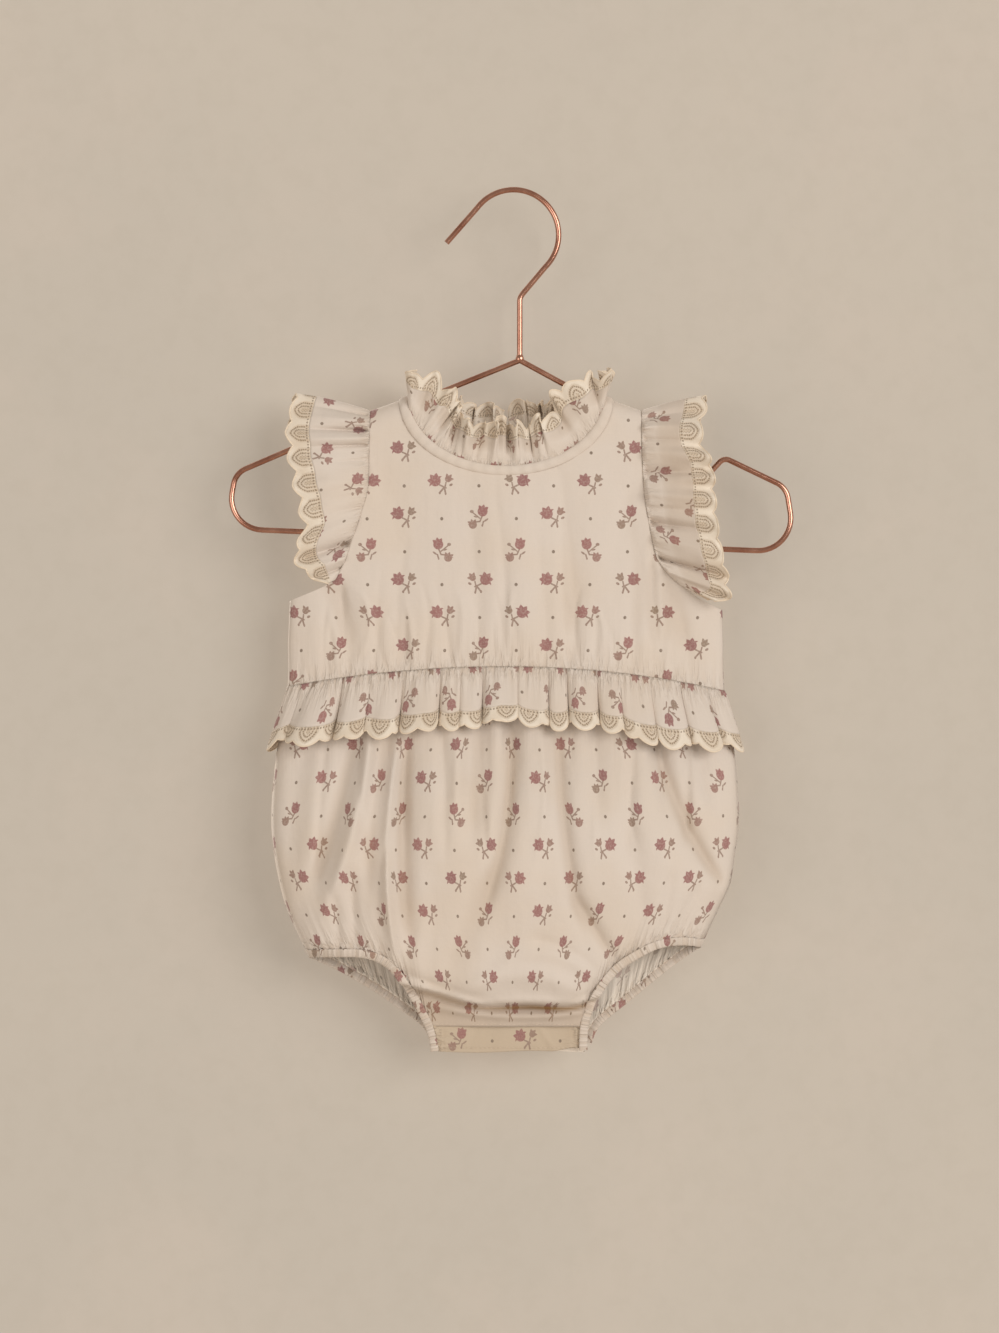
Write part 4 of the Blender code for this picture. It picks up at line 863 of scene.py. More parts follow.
bodice = {
    "rows": 142, "backRows": 132, "columns": 204, "backColumns": 96, "shoulder": 18, "backShoulder": 10, "slit": 0.0012,
    "depth": 1.9, "below": False, "fade": (0.8, 1.7), "tickSize": 1, "frontTicks": 11, "backTicks": 12,
    "frontWaves": (5, 9, (28, 85), 0.28), "backWaves": (8, 9, (28, 85), 0.3),
    "frontSmall": smallerFolds(61, 16, (-100, 95), (-238, -216), (18, 34), (1.2, 2.4), (0.3, 0.7)),
    "backSmall": smallerFolds(62, 16, (-100, 95), (-235, -205), (18, 40), (1.6, 3.2), (0.3, 0.8)),
    "frontFolds": (
        (-73, -258, -72.8, -246, -72, -226, 3.2, -1, 0.6), (-57.5, -257, -57.5, -248, -57, -236, 3, -1, 0.7),
        (-33.5, -255.5, -34, -245, -35.5, -232, 3, -1.3, 0.7), (-16.5, -255, -17.5, -240, -19, -208, 4.5, -1, 0.4),
        (-10, -255, -10, -245, -9, -234, 3, -0.9, 0.7), (18, -255, 18.2, -242, 17, -215, 4.2, -1, 0.5),
        (33, -256, 33.4, -235, 31, -188, 4.6, -1.2, 0.5), (43, -257, 44.5, -246, 45, -234, 3, -0.9, 0.7),
        (62.5, -260, 66, -240, 66.5, -205, 4.6, -1.2, 0.4), (76, -263, 75, -243, 73, -222, 3.6, -1.2, 0.6),
        (99, -266, 95.5, -252, 93, -240, 4.2, -1, 0.5), (-96, -214, -88, -232, -84, -250, 7.5, -1.3, 0.2),
        (84, -212, 88, -228, 90, -246, 7, -1.3, 0.2), (-2, -170, 0, -205, 2, -245, 20, 1.4, 0),
        (-46, -256, -46.5, -250, -46, -241, 2.4, -0.7, 0.6), (3, -255, 3.4, -249, 2.6, -238, 2.4, -0.8, 0.6),
        (54, -258, 54.6, -252, 54, -243, 2.2, -0.7, 0.6), (88, -265, 87, -258, 86, -249, 2.6, -0.7, 0.6),
        (-88, -261, -87, -254, -86.6, -244, 2.8, -0.8, 0.6), (-101, -263, -100, -256, -99, -247, 2.8, -0.7, 0.5),
        (66, -158, 60, -176, 57, -196, 6, -0.5, 0), (-70, -150, -62, -172, -60, -198, 8, -0.5, 0),
        (75, -200, 75.6, -214, 77, -230, 2.4, -1.2, 0.6), (-91, -213, -90.6, -226, -90, -240, 2.6, -1.1, 0.5),
        (-3, -250, -3.4, -222, -5, -196, 3.2, -0.9, 0.4), (30, -250, 28, -225, 27, -200, 3, -0.8, 0.4),
        (-60, -252, -61, -232, -60, -212, 3, -0.7, 0.5),
    ),
    "backFolds": (
        (-88, -262, -87, -246, -85, -226, 4, 1.1, 0.4), (-62, -259, -63, -240, -64, -208, 5, 1.2, 0.3),
        (-38, -257, -38, -246, -37, -232, 3.6, 0.9, 0.5), (-20, -256, -21, -236, -22, -200, 5, 1.3, 0.3),
        (16, -256, 15, -242, 14, -218, 4.2, 1, 0.4), (37, -257, 38, -236, 40, -205, 5, 1.3, 0.3),
        (60, -260, 60, -246, 61, -230, 3.6, 1, 0.5), (84, -264, 82, -246, 79, -224, 4.6, 1.2, 0.4),
        (-75, -261, -75, -254, -74, -243, 2.4, 0.8, 0.6), (-50, -258, -50.5, -251, -50, -240, 2.4, 0.8, 0.6),
        (27, -256, 27, -250, 27.5, -240, 2.4, 0.8, 0.6), (72, -262, 71, -254, 70, -244, 2.4, 0.8, 0.6),
    ),
}

bodiceDepth = {side: panelDepth(bodice, side) for side in facing}


def bodiceSide(side, rows):
    under = smoothRun(underarms[side])
    heights = np.linspace(under[-1][1], float(waistZ(sectionAt(-266, side))), 30)
    seam = joined(sectionAt(heights, side), heights)
    path = np.concatenate([smoothRun(armholes[side]), under[1:-1], seam])
    return placed(path, np.linspace(0, 1, rows) ** 1.3)


def bodiceTop(count, start, end, left, right):
    # the neckline, and the shoulders at the sides that are asked for
    neck = neckRing(0, evenTurns(0, count, start, end))[:, [0, 2]]
    leftTop = np.linspace(armholes[left][0], neck[0], bodice["shoulder"] if right else bodice["backShoulder"])[:-1]
    if not right:
        return np.concatenate([leftTop, neck])
    return np.concatenate([leftTop, neck, np.linspace(neck[-1], armholes[right][0], bodice["shoulder"])[1:]])


def bodicePanel(name, node, side, top, left, right, flip=False):
    foot = np.linspace(left[-1][0], right[-1][0], len(top))
    grid = coons(top, joined(foot, waistZ(foot) + 0.05), left, right)
    points = raised(grid, bodiceDepth[side])
    x, z = points[..., 0], points[..., 2]
    # the gather map: nearness to the waist seam for the pleats and their painted shade; on the front, painted shade in
    # the folds too
    near = 0.8 * np.exp((waistZ(x) - z) / 8)
    if side == "front":
        near = paintFoldShade(near, panelFolds(bodice, side, x, z), 0.12, 0.5, 1.6)
    clothPiece("panel", name, points, printPlace(points, bodiceDepth[side]), node,
               flip=flip, gather=(x, near))


def makeBodice():
    top = bodiceTop(bodice["columns"], 0.25, 0.75, "left", "right")
    sides = [bodiceSide(side, bodice["rows"]) for side in turning]
    bodicePanel("bodiceFront", "bodice_front", "front", top, *sides)
    for side, shoulder in (("left", 0.25), ("right", 0.75)):
        slit = bodice["slit"] if side == "left" else 1 - bodice["slit"]
        top = bodiceTop(bodice["backColumns"], shoulder, slit, side, None)
        centreX = form["centreX"] + turning[side] * 0.08
        top[-1, 0] = centreX
        edge = bodiceSide(side, bodice["backRows"])
        centre = placed([[centreX, top[-1, 1]], [centreX, form["waistZ"]]], sharesOf(edge))
        bodicePanel("bodiceBack" + side.title(), "bodice_back_" + side, "back", top, edge, centre, side == "left")


makeBodice()
print("bodice made")


# neck

neck = {
    "waves": 17, "depth": 5, "pitch": 14, "laceShare": 0.38, "laceWidth": 9, "frontHeight": 24.5,
    "sideHeight": 13.5, "backHeight": 22, "columns": 840, "slit": 0.004, "root": 4.4, "lobe": 12.5,
    "lobePlace": 0.068, "lobeWidth": 0.046, "lobeSpread": 15, "lobeForward": 3.2, "overlap": 0.012,
    "bindingColumns": 420, "bindingWaves": 41,
    "binding": ((-0.25, 0.12), (-0.1, 0.5), (0.5, 0.95), (1.5, 1.2), (2.6, 1.3), (3.7, 1.15), (4.7, 0.75), (5.1, 0.1),
                (4.7, -0.6), (3.4, -0.8), (1.8, -0.8), (0.4, 0.05)),
}
neckTurns = np.linspace(neck["slit"], 1 - neck["slit"], 1600)
neckShares = sharesOf(neckRing(neck["root"], neckTurns))
laceEdges = []


def neckHeight(turns):
    forward = -np.cos(tau * turns)
    full = np.where(forward > 0, neck["frontHeight"], neck["backHeight"])
    lobes = neck["lobe"] * bell((0.25 - np.abs(turns - 0.5) - neck["lobePlace"]) / neck["lobeWidth"])
    return neck["sideHeight"] + (full - neck["sideHeight"]) * np.abs(forward) ** 1.4 + lobes


def neckFrill(shares, up):
    # up is 0 at the binding and 1 at the lace's free edge; the frill is drawn into uneven folds
    turns = np.interp(shares, neckShares, neckTurns)
    here = neckRing(neck["root"], turns)
    along = unit(neckRing(neck["root"], turns + 0.004) - neckRing(neck["root"], turns - 0.004))
    vertical = np.array((0, 0, 1))
    rise = unit(vertical - along * along[..., 2:3])
    ahead = 0.25 - np.abs(turns - 0.5)
    upright = (0.35 + 0.3 * bell((ahead - 0.05) / 0.05))[..., None]
    rise = unit(rise * (1 - upright) + vertical * upright)
    outward = unit(np.cross(along, rise))
    side, back = np.abs(np.sin(tau * turns)), np.maximum(np.cos(tau * turns), 0)
    phase = wavePhase(shares, neck["waves"])
    height = neckHeight(turns) * (1 + 0.07 * np.sin(1.31 * phase + 0.4) + 0.05 * np.sin(0.47 * phase + 2)) * up
    lean = (-0.1 * side ** 2 + 0.3 * back ** 2 + 0.02 * (1 - side)) * height
    swing = np.sin(phase)
    swing = np.sign(swing) * np.abs(swing) ** 0.72
    wave = (0.2 + (neck["depth"] - 0.2) * up) * (1 + 0.35 * np.sin(0.43 * phase + 1.1)) * swing
    wave = wave + 0.45 * np.sin(2.7 * phase + 1.1) * np.exp(-up * 4.5) * eased(up / 0.06)
    wave += 1.9 * up * np.sin(2.33 * phase + 0.6) + up * np.sin(0.37 * phase + 2)
    wave += 1.4 * up ** 1.5 * np.sin(4.1 * phase + 1.5 * np.sin(0.6 * phase))
    # a broad lobe stands at each shoulder, spread out and calmer than the folds beside it
    fromLobe = (ahead - neck["lobePlace"]) / neck["lobeWidth"]
    lobe, calm = bell(fromLobe) * up, 1 - 0.75 * bell(fromLobe)
    spread = -np.sign(here[..., 0] - form["centreX"]) * neck["lobeSpread"] * fromLobe * lobe
    slide = 1.9 * up ** 0.8 * np.sin(2 * phase + 0.5 * np.sin(0.7 * phase)) + 1.2 * up * np.sin(0.53 * phase + 0.8)
    return (here + rise * height[..., None] + outward * (lean + wave * calm)[..., None]
            + along * (slide * calm)[..., None] + joined(spread, -neck["lobeForward"] * lobe, 0))


def evenColumns(pointAt, count, fine=9000):
    # places along a strip that are evenly spaced on the cloth of its junction line, and its length
    base = np.linspace(0, 1, fine)
    run = lengthsOf(pointAt(base))
    return np.interp(np.linspace(0, run[-1], count), run, base), float(run[-1])


def scallopArch(lengths, pitch):
    return np.abs(np.sin(math.pi * lengths / pitch)) ** 0.8


def frillPair(names, nodes, frill, frillPlace, gather, lace, lacePlace, look, flip=False):
    # a gathered strip, and the lace that is sewn to its edge
    clothPiece("frill", names[0], frill, frillPlace * mm, nodes[0], flip, gather)
    clothPiece("lace", names[1], lace, lacePlace, nodes[1], flip, looks=[look])


def makeNeck():
    seam = 1 - neck["laceShare"]
    columns, total = evenColumns(lambda t: neckFrill(t, 0.8), neck["columns"])
    along = np.linspace(0, total, neck["columns"])
    pitch = total / round(total / neck["pitch"])
    ups = downwards(seam, 0, 14)
    # near the binding the gathers and their painted shade; higher up painted shade, most in the folds that turn inward
    hollowShade = 0.5 - 0.5 * np.sin(wavePhase(columns, neck["waves"]))
    close = 0.75 * np.exp(-ups * 6) - (0.08 + 0.24 * hollowShade) * eased(ups / 0.5)
    free = 1 - 0.16 * (1 - scallopArch(along, pitch))
    start = seam - neck["overlap"]
    up = start + (free - start) * downwards(1, 0, 10)
    lace = neckFrill(columns, up)
    frillPair(("neckRuffle", "neckLace"), ("neck_ruffle", "neck_lace"), neckFrill(columns, ups),
              joined(along, ups * neck["frontHeight"] * 1.1 + 4), (along, close), lace,
              joined(along / pitch, (up - seam) / neck["laceShare"] * neck["laceWidth"]), laceNeck)
    laceEdges.append(("neckLaceCord", lace[0], 0.42))


def cappedBand(name, node, slot, look, loops, uv, gather=None):
    obj = meshPiece(name, loops, uv * mm, "clothUv", [look])
    if gather:
        gatherMap(obj.data, *(np.broadcast_to(part, loops.shape[:2]) for part in gather))
    heal(obj.data, True)
    keep(obj, node, slot)


def makeBinding():
    turns = evenTurns(0, neck["bindingColumns"], neck["slit"], 1 - neck["slit"])
    pull = 1 + 0.14 * np.sin(wavePhase(np.linspace(0, 1, len(turns)), neck["bindingWaves"]))
    rows = []
    for inset, lift in neck["binding"] + neck["binding"][:1]:
        along = neckRing(inset, turns + 0.003) - neckRing(inset, turns - 0.003)
        inward = neckRing(inset + 0.5, turns) - neckRing(inset - 0.5, turns)
        rows.append(neckRing(inset, turns) + unit(np.cross(along, inward)) * (lift * pull)[:, None])
    uv = joined(np.linspace(0, 330, len(turns)), np.linspace(0, 11, len(rows))[:, None])
    cappedBand("neckBinding", "neck_binding", "plain_cotton", plainCloth, np.stack(rows[::-1]), uv[::-1])


makeBinding()
makeNeck()
print("neck made")


# peplum

peplum = {
    "length": 23.2, "lace": 9.4, "pitch": 14.6, "scallopDepth": 3, "frontColumns": 680, "backColumns": 580,
    "root": 0.2, "flare": 0.6, "lobe": 8.4,
    "frontValleys": (
        (-140, 0.4), (-112, 0.55), (-90.9, 1), (-76, 0.3), (-58.6, 1), (-38.2, 1), (-27.5, 0.35),
        (-15.6, 0.95), (3, 0.4), (19.4, 0.95), (29.6, 1), (45.7, 0.95), (58, 0.5), (74, 0.55),
        (90, 0.7), (104.8, 1), (135, 0.4),
    ),
    "backValleys": (
        (-140, 0.4), (-106, 0.9), (-90, 0.5), (-73, 1), (-60, 0.45), (-44, 0.95), (-31, 0.9),
        (-12, 0.35), (4, 1), (18, 0.5), (39, 0.95), (51, 0.85), (68, 0.4), (80, 1), (99, 0.8), (135, 0.4),
    ),
    "frontHem": ((-122, -299.1), (-111.8, -295.9), (-90.3, -295.3), (-74.7, -291.4), (-63.4, -292.7),
                 (-55.4, -291), (-47.3, -288), (-32.8, -289.4), (-14, -287.3), (-5.9, -282.6),
                 (3.8, -284.6), (22.6, -289.4), (34.4, -287.3), (46.8, -288.9), (61.3, -292.7), (72.6, -297.6),
                 (94.1, -299.1), (108.6, -301), (119.9, -298.1)),
    "backHem": ((-122, -299.1), (-98, -297), (-80, -294), (-66, -295.6), (-40, -290),
                (-22, -291.4), (0, -288), (16, -290.4), (34, -289), (56, -293.6), (74, -294.6),
                (95, -298.6), (119.9, -298.1)),
}


def peplumPoint(shares, down, side):
    angle = np.linspace(0, math.pi, 1600)
    spread = np.abs(np.cos(angle)) ** (2 / form["power"])
    run = joined(np.copysign(spread, -np.cos(angle)), 0.12 * np.sin(angle) ** (2 / form["power"]))
    share = np.interp(shares, sharesOf(run), run[:, 0]) * -facing[side]
    topX = acrossX(share, -267)
    total = peplum["length"] + peplum["lace"]
    foot = np.interp(topX, *np.array(peplum[side + "Hem"]).T)
    grown = down / peplum["length"]
    rise = np.minimum(grown, 1.3) ** 0.85
    places, depths = np.array(peplum[side + "Valleys"]).T
    i = np.clip(np.searchsorted(places, topX) - 1, 0, len(places) - 2)
    gap = places[i + 1] - places[i]
    t = (topX - places[i]) / gap
    depth = (depths[i] * (1 - t) ** 2 + depths[i + 1] * t ** 2) / ((1 - t) ** 2 + t ** 2)
    lobe = (1 - depth * (1 - np.sin(math.pi * t) ** 0.7)) * (0.55 + 0.45 * np.minimum(gap / 20, 1.15))
    top = waistZ(topX) + 0.35
    z = top - down / total * (top - foot) + 4.2 * np.minimum(grown, 1.3) ** 2 * (0.8 - lobe)
    x = acrossX(share, z)
    nx, ny = np.copysign(np.abs(share) ** 6, share), facing[side] * (roundness(share) + 1e-3)
    size = np.hypot(nx, ny)
    free = np.minimum(roundness(share) * 1.6, 1)
    lobe = 0.8 + (lobe - 0.8) * free
    pull = -(0.05 * gap + 0.9) * np.sin(tau * t) * depth * np.minimum(grown, 1.3) * free
    fine = 0.55 * np.sin(topX * 1.25 + 2.4 * np.sin(topX * 0.21)) * eased(grown / 0.1) * np.exp(-grown * 2.6)
    ripple = 0.7 * rise * np.sin(topX * 0.37 + 1.2 * np.sin(topX * 0.05)) * free
    off = peplum["root"] + peplum["flare"] * grown + peplum["lobe"] * rise * lobe * (0.4 + 0.6 * free) + fine + ripple
    return joined(x + nx / size * off + pull, faceY[side](x, z) + ny / size * off, z)


def makePeplum():
    for side, rests in (("front", "bodiceFront"), ("back", "bodiceBackLeft")):
        count, title = peplum[side + "Columns"], side.title()
        columns, total = evenColumns(lambda t: peplumPoint(t, 28, side), count)
        along = np.linspace(0, total, count)
        pitch = total / round(total / peplum["pitch"])
        downs = downwards(0, peplum["length"], 18)
        reach = peplum["lace"] - peplum["scallopDepth"] * (1 - scallopArch(along, pitch))
        down = -0.15 + (reach + 0.15) * downwards(0, 1, 10)
        lace = peplumPoint(columns, peplum["length"] + down, side)
        # the gather map: gathers at the waist seam, and a little painted shade over the lower part of the peplum
        frillPair(("peplum" + title, "peplumLace" + title), ("peplum_" + side, "peplum_lace_" + side),
                  peplumPoint(columns, downs, side), joined(along, downs + 3),
                  (along, np.exp(-downs / 9) - 0.07 * eased(downs / 14)), lace, joined(along / pitch, down), lacePeplum)
        laceEdges.append(("peplumLaceCord" + title, lace[-1], 0.42))


makePeplum()
print("peplum made")


# sleeves

sleeve = {
    "lace": 12.4, "pitch": 14, "scallopDepth": 3.2, "columns": 396, "ease": -0.15, "depth": 1.6,
    "leftEdge": (
        (0, -99, -9.5, -210.6), (0.06, -110, -11, -206), (0.12, -116.8, -12, -196.5),
        (0.19, -112.2, -14, -181.5), (0.27, -115, -14.5, -165), (0.34, -118.5, -13.5, -149),
        (0.41, -120.8, -10.5, -132), (0.46, -119.6, -6, -117), (0.5, -116.6, -1, -108.2),
    ),
    "rightEdge": (
        (0, 110, -9, -221), (0.06, 116.8, -10.5, -216.5), (0.13, 113.6, -13, -199),
        (0.2, 110.2, -14.5, -180), (0.27, 108.8, -12, -163), (0.34, 107.4, -13.5, -148),
        (0.41, 101.6, -11, -133), (0.46, 103.6, -6.5, -118), (0.5, 105.4, -1, -109.6),
    ),
    "leftFolds": (
        (0.472, 0.8, 0.006, -2.2), (0.448, 0.95, 0.012, 2), (0.424, 0.85, 0.0055, -2.6),
        (0.402, 0.9, 0.011, 1.8), (0.385, 0.6, 0.005, -2), (0.3, 1, 0.045, 2),
        (0.345, 0.35, 0.005, -0.8), (0.215, 0.45, 0.008, -1), (0.165, 1, 0.03, 1.8),
        (0.112, 1, 0.012, -3.2), (0.07, 0.9, 0.014, 1.6), (0.04, 0.8, 0.008, -2),
    ),
    "rightFolds": (
        (0.462, 0.7, 0.007, -1.6), (0.435, 0.8, 0.012, 1.6), (0.405, 0.55, 0.006, -1.2),
        (0.372, 0.9, 0.016, 1.4), (0.322, 1, 0.013, -3.4), (0.262, 1, 0.026, 2.2),
        (0.19, 1, 0.011, -3.6), (0.15, 1, 0.016, 1.6), (0.098, 1, 0.008, -4),
        (0.055, 0.9, 0.012, 1.4), (0.23, 0.45, 0.006, -0.9),
    ),
    "leftRipple": (1.4, 15, 0), "rightRipple": (2.8, 17, 6), "leftShade": 0.02, "rightShade": 0.2,
}


def armholeRun(side):
    sign = turning[side]
    run = smoothRun(armholes[side][::-1])
    ahead = unit(np.gradient(run, axis=0))
    x, z = (run + joined(sign * ahead[:, 1], -sign * ahead[:, 0]) * sleeve["ease"]).T
    front, back = (joined(x, faceY[face](*run.T), z) for face in facing)
    tip = armholes[side][0]
    over = np.array([[tip[0] + sign * sleeve["ease"], float(sectionAt(tip[1], "seam")), tip[1]]])
    return np.concatenate([front, over, back[::-1]])


def sleeveEdge(edge, shares):
    edge = np.array(edge)
    run = smoothRun(edge[:, 1:], 30)
    knots = np.concatenate([np.linspace(edge[i, 0], edge[i + 1, 0], 30, endpoint=False)
                            for i in range(len(edge) - 1)] + [edge[-1:, 0]])
    behind = shares > 0.5
    x, y, z = (np.interp(np.where(behind, 1 - shares, shares), knots, run[:, k]) for k in range(3))
    drawn = 2.5 * eased((shares - 0.5) / 0.2) * behind
    return joined(x - np.copysign(drawn, x), np.where(behind, -0.75 * y - 0.8, y), z + drawn * 0.6)


def sleevePoints(side, strip, out):
    # out is 0 at the armhole and 1 at the free edge
    shares, inner, outer = strip
    behind = shares > 0.5
    along = np.where(behind, 1 - shares, shares)
    points = inner + (outer - inner) * out[..., None]
    push = 2.4 * np.sin(math.pi * out) * (1 - eased((along - 0.4) / 0.1))
    for place, reach, width, height in sleeve[side + "Folds"]:
        fade = eased(1 - out / (reach + 0.35)) * eased(out / 0.05) * np.exp(-np.abs((along - place) / width) ** 1.6)
        push = push + height * sleeve["depth"] * np.where(behind, 0.7, 1) * fade
    fine = np.sin(tau * 31 * along + 2 * np.sin(tau * 4 * along))
    push = push + 0.4 * fine * np.exp(-out * 4) * eased(out / 0.04)
    size, waves, lean = sleeve[side + "Ripple"]
    flutter = np.sin(tau * waves * along + 0.8 * np.sin(tau * 3.1 * along) + 1.5 * behind)
    push = push + size * out ** 2 * flutter + lean * out * eased((0.5 - along) / 0.1)
    lift = eased((along - 0.44) / 0.06)
    sway = 0.6 * out ** 2 * np.cos(tau * waves * along + 0.5)
    return points + joined(sway, np.where(behind, 1, -1) * push * (1 - lift),
                           push * lift * 0.6 + 1.2 * lift * np.sin(math.pi * out))


def makeSleeve(side):
    run, sign, title = armholeRun(side), turning[side], side.title()

    def stripAt(shares):
        inner, outer = placed(run, shares), sleeveEdge(sleeve[side + "Edge"], shares)
        width = np.maximum(np.linalg.norm(outer - inner, axis=1), 1e-6)
        lace = np.minimum(sleeve["lace"], 0.5 * width)
        return (shares, inner, outer), width, lace, 1 - lace / width

    def edgeAt(shares):
        strip, _, _, junction = stripAt(shares)
        return sleevePoints(side, strip, junction)

    shares, total = evenColumns(edgeAt, sleeve["columns"], 3000)
    along = np.linspace(0, total, len(shares))
    pitch = total / round(total / sleeve["pitch"])
    strip, width, lace, junction = stripAt(shares)
    outs = downwards(0, 1, 34)
    # painted shade on the outer part of each sleeve, most on the right one, which is turned away from the key light
    close = 0.7 * np.exp(-outs * 5) - sleeve[side + "Shade"] * eased((outs - 0.2) / 0.3)
    notch = sleeve["scallopDepth"] * (1 - scallopArch(along, pitch)) / width * lace / sleeve["lace"]
    start = junction - 0.15 / width
    out = start + (1 - notch - start) * downwards(0, 1, 14)
    laced = sleevePoints(side, strip, out)
    lacePlace = joined(along / pitch, (out - junction) * width / lace * sleeve["lace"])
    frillPair(("sleeve" + title, "sleeveLace" + title), ("sleeve_" + side, "sleeve_lace_" + side),
              sleevePoints(side, strip, junction * outs), joined(along + 6, junction * outs * width * 1.05 * sign + 9),
              (along, close), laced, lacePlace, laceSleeve, sign < 0)
    laceEdges.append(("sleeveLaceCord" + title, laced[-1], 0.5))


makeSleeve("left")
makeSleeve("right")
print("sleeves made")


# bubble bottom

bubble = {
    # for each side: cells along a leg opening and along the crotch, rows, and the seed of its gathers
    "cells": {"front": (80, 76, 160, 41), "back": (60, 60, 114, 42)}, "casing": 4.4, "seamZ": -447.3, "cut": 345,
    "depth": 1.55, "below": True, "fade": (), "tickSize": 1.4, "frontTicks": 31, "backTicks": 32,
    "frontWaves": (21, 9, (22, 70), 0.4), "backWaves": (22, 9, (22, 70), 0.4),
    "frontSmall": smallerFolds(71, 26, (-112, 104), (-300, -262), (24, 70), (1.8, 4), (0.3, 1)),
    "backSmall": smallerFolds(72, 26, (-112, 104), (-300, -262), (24, 70), (1.8, 4), (0.3, 1)),
    "frontFolds": (
        (-74, -272, -80, -310, -95, -374, 4.6, 3.4, 0.4), (-84, -290, -92, -325, -104, -368, 5.6, -2.4, 0.2),
        (-70, -290, -74, -330, -76, -372, 4.6, -1.8, 0.3), (-62, -304, -66.5, -336, -63, -402, 3.2, 3.4, 0.7),
        (-57, -300, -57.5, -342, -56, -392, 5.6, -3, 0.3), (-34, -272, -34, -310, -36, -350, 11, 1.6, 0),
        (-19, -268, -20, -305, -21, -340, 5, -2.2, 0.3), (-10, -270, -10, -305, -12, -345, 4.4, 1.2, 0.2),
        (-1.6, -268, -1.2, -325, -12, -376, 4.2, -2.8, 0.4), (10, -270, 10, -320, 6, -372, 9, 1.4, 0),
        (24, -268, 26.3, -325, 35, -384, 4.6, -2.6, 0.4), (43, -270, 44, -300, 45, -330, 4.2, -1.4, 0.3),
        (66, -274, 68, -310, 76, -352, 10, 1.8, 0), (77, -280, 86, -330, 110, -368, 5.2, -3.2, 0.5),
        (95, -280, 100, -305, 106, -326, 4.4, -1.6, 0.3), (36, -380, 45, -397, 54, -411, 4.6, -2.2, 0.5),
        (-16, -366, -22, -390, -31, -414, 8, -1.4, 0), (-84.5, -366, -84, -385, -83, -403, 3, -1.8, 0.7),
        (-24, -426, 2, -418, 30, -424, 6, 1.8, 0), (-52, -420, -20, -431, 10, -436, 3, -1.6, 0.6),
        (10, -436, 28, -434, 44, -428, 2.6, -1.4, 0.6), (-6, -412, 18, -407, 40, -416, 5, 0.9, 0),
        (12, -400, 26, -404, 40, -412, 3.4, -0.8, 0.2), (-95, -376, -93, -390, -92, -402, 2.4, -1.2, 0.6),
        (-66, -348, -70, -366, -69, -392, 2.6, -1.3, 0.6), (62, -340, 66, -362, 68, -384, 5, -0.9, 0),
        (84, -366, 82, -380, 80, -394, 3, -1, 0.4), (99, -372, 94, -384, 90, -396, 2.8, -1.1, 0.5),
        (-110, -300, -115, -330, -116, -360, 6, -1, 0), (-48, -392, -50, -408, -49, -424, 4, 0.9, 0),
        (-34, -437.6, 4, -441.4, 38, -439, 2.2, 1.9, 0),
    ),
    "backFolds": (
        (-92, -272, -96, -315, -104, -366, 5.6, 2.4, 0.3), (-70, -270, -72, -320, -74, -388, 5, -2, 0.3),
        (-52, -268, -54, -312, -56, -350, 6, 2.2, 0.3), (-30, -268, -31, -325, -36, -384, 5.2, -2.2, 0.3),
        (-12, -268, -11, -310, -14, -352, 6, 1.8, 0.3), (6, -268, 8, -330, 4, -396, 5.2, -2.2, 0.3),
        (28, -268, 29, -315, 33, -360, 6, 2.2, 0.3), (50, -270, 52, -322, 54, -384, 5.2, -2.2, 0.3),
        (72, -272, 76, -318, 86, -362, 6, 2.4, 0.3), (92, -276, 96, -310, 101, -340, 5, -1.8, 0.3),
        (-84, -350, -82, -375, -78, -398, 3, -1.2, 0.6), (-20, -380, -24, -402, -30, -424, 4, -1, 0.3),
        (22, -376, 24, -400, 30, -424, 4, -1, 0.3), (66, -366, 64, -384, 60, -402, 3, -1.2, 0.5),
    ),
}

bubbleDepth = {side: panelDepth(bubble, side) for side in facing}


def legEdge(name, cells, distance):
    turn = 1 if "Left" in name else -1
    path = placed(smoothRun(legs[name]), np.linspace(0, 1, cells + 1))
    ahead = np.gradient(path, axis=0)
    mixing = (1 - eased(np.linspace(0, cells, cells + 1) / cells * 16 / 3))[:, None]
    square = unit(joined(-ahead[:, 1], ahead[:, 0]) * turn) * (1 - mixing) + np.array([0, 1]) * mixing
    moved = path + unit(square) * distance
    moved[0, 0] = sectionAt(moved[0, 1], "left" if turn > 0 else "right")
    return moved


def aboveLine(path, z):
    above = path[:, 1] > z + 0.05
    if above.all():
        return path
    stop = int(np.argmin(above))
    a, b = path[stop - 1], path[stop]
    return np.concatenate([path[:stop], [a + (b - a) * (z - a[1]) / (b[1] - a[1])]])


def onLegs(run, leftCount, rightCount):
    # 1 along the leg openings and 0 along the placket
    return 1 - eased((run - run[leftCount - 1] + 8) / 10) * eased((run[-rightCount] - run + 8) / 10)


def legGathers(points, run, seed, onLeg):
    # fine gathers that the elastic draws up into the panel from the leg openings
    rng = np.random.default_rng(seed)
    wave, reach = np.zeros(len(run)), np.full(len(run), 9.0)
    place = 1.5
    while place < run[-1]:
        bump = bell((run - place) / rng.uniform(0.8, 1.5))
        wave += rng.uniform(0.7, 1.9) * bump
        reach += rng.uniform(-3, 12) * bump
        place += rng.uniform(2.6, 4.6)
    down = np.linalg.norm(points - points[-1], axis=2)
    return wave * onLeg * eased(np.minimum(run, run[-1] - run) / 6) * np.exp(-(down / reach) ** 1.4)


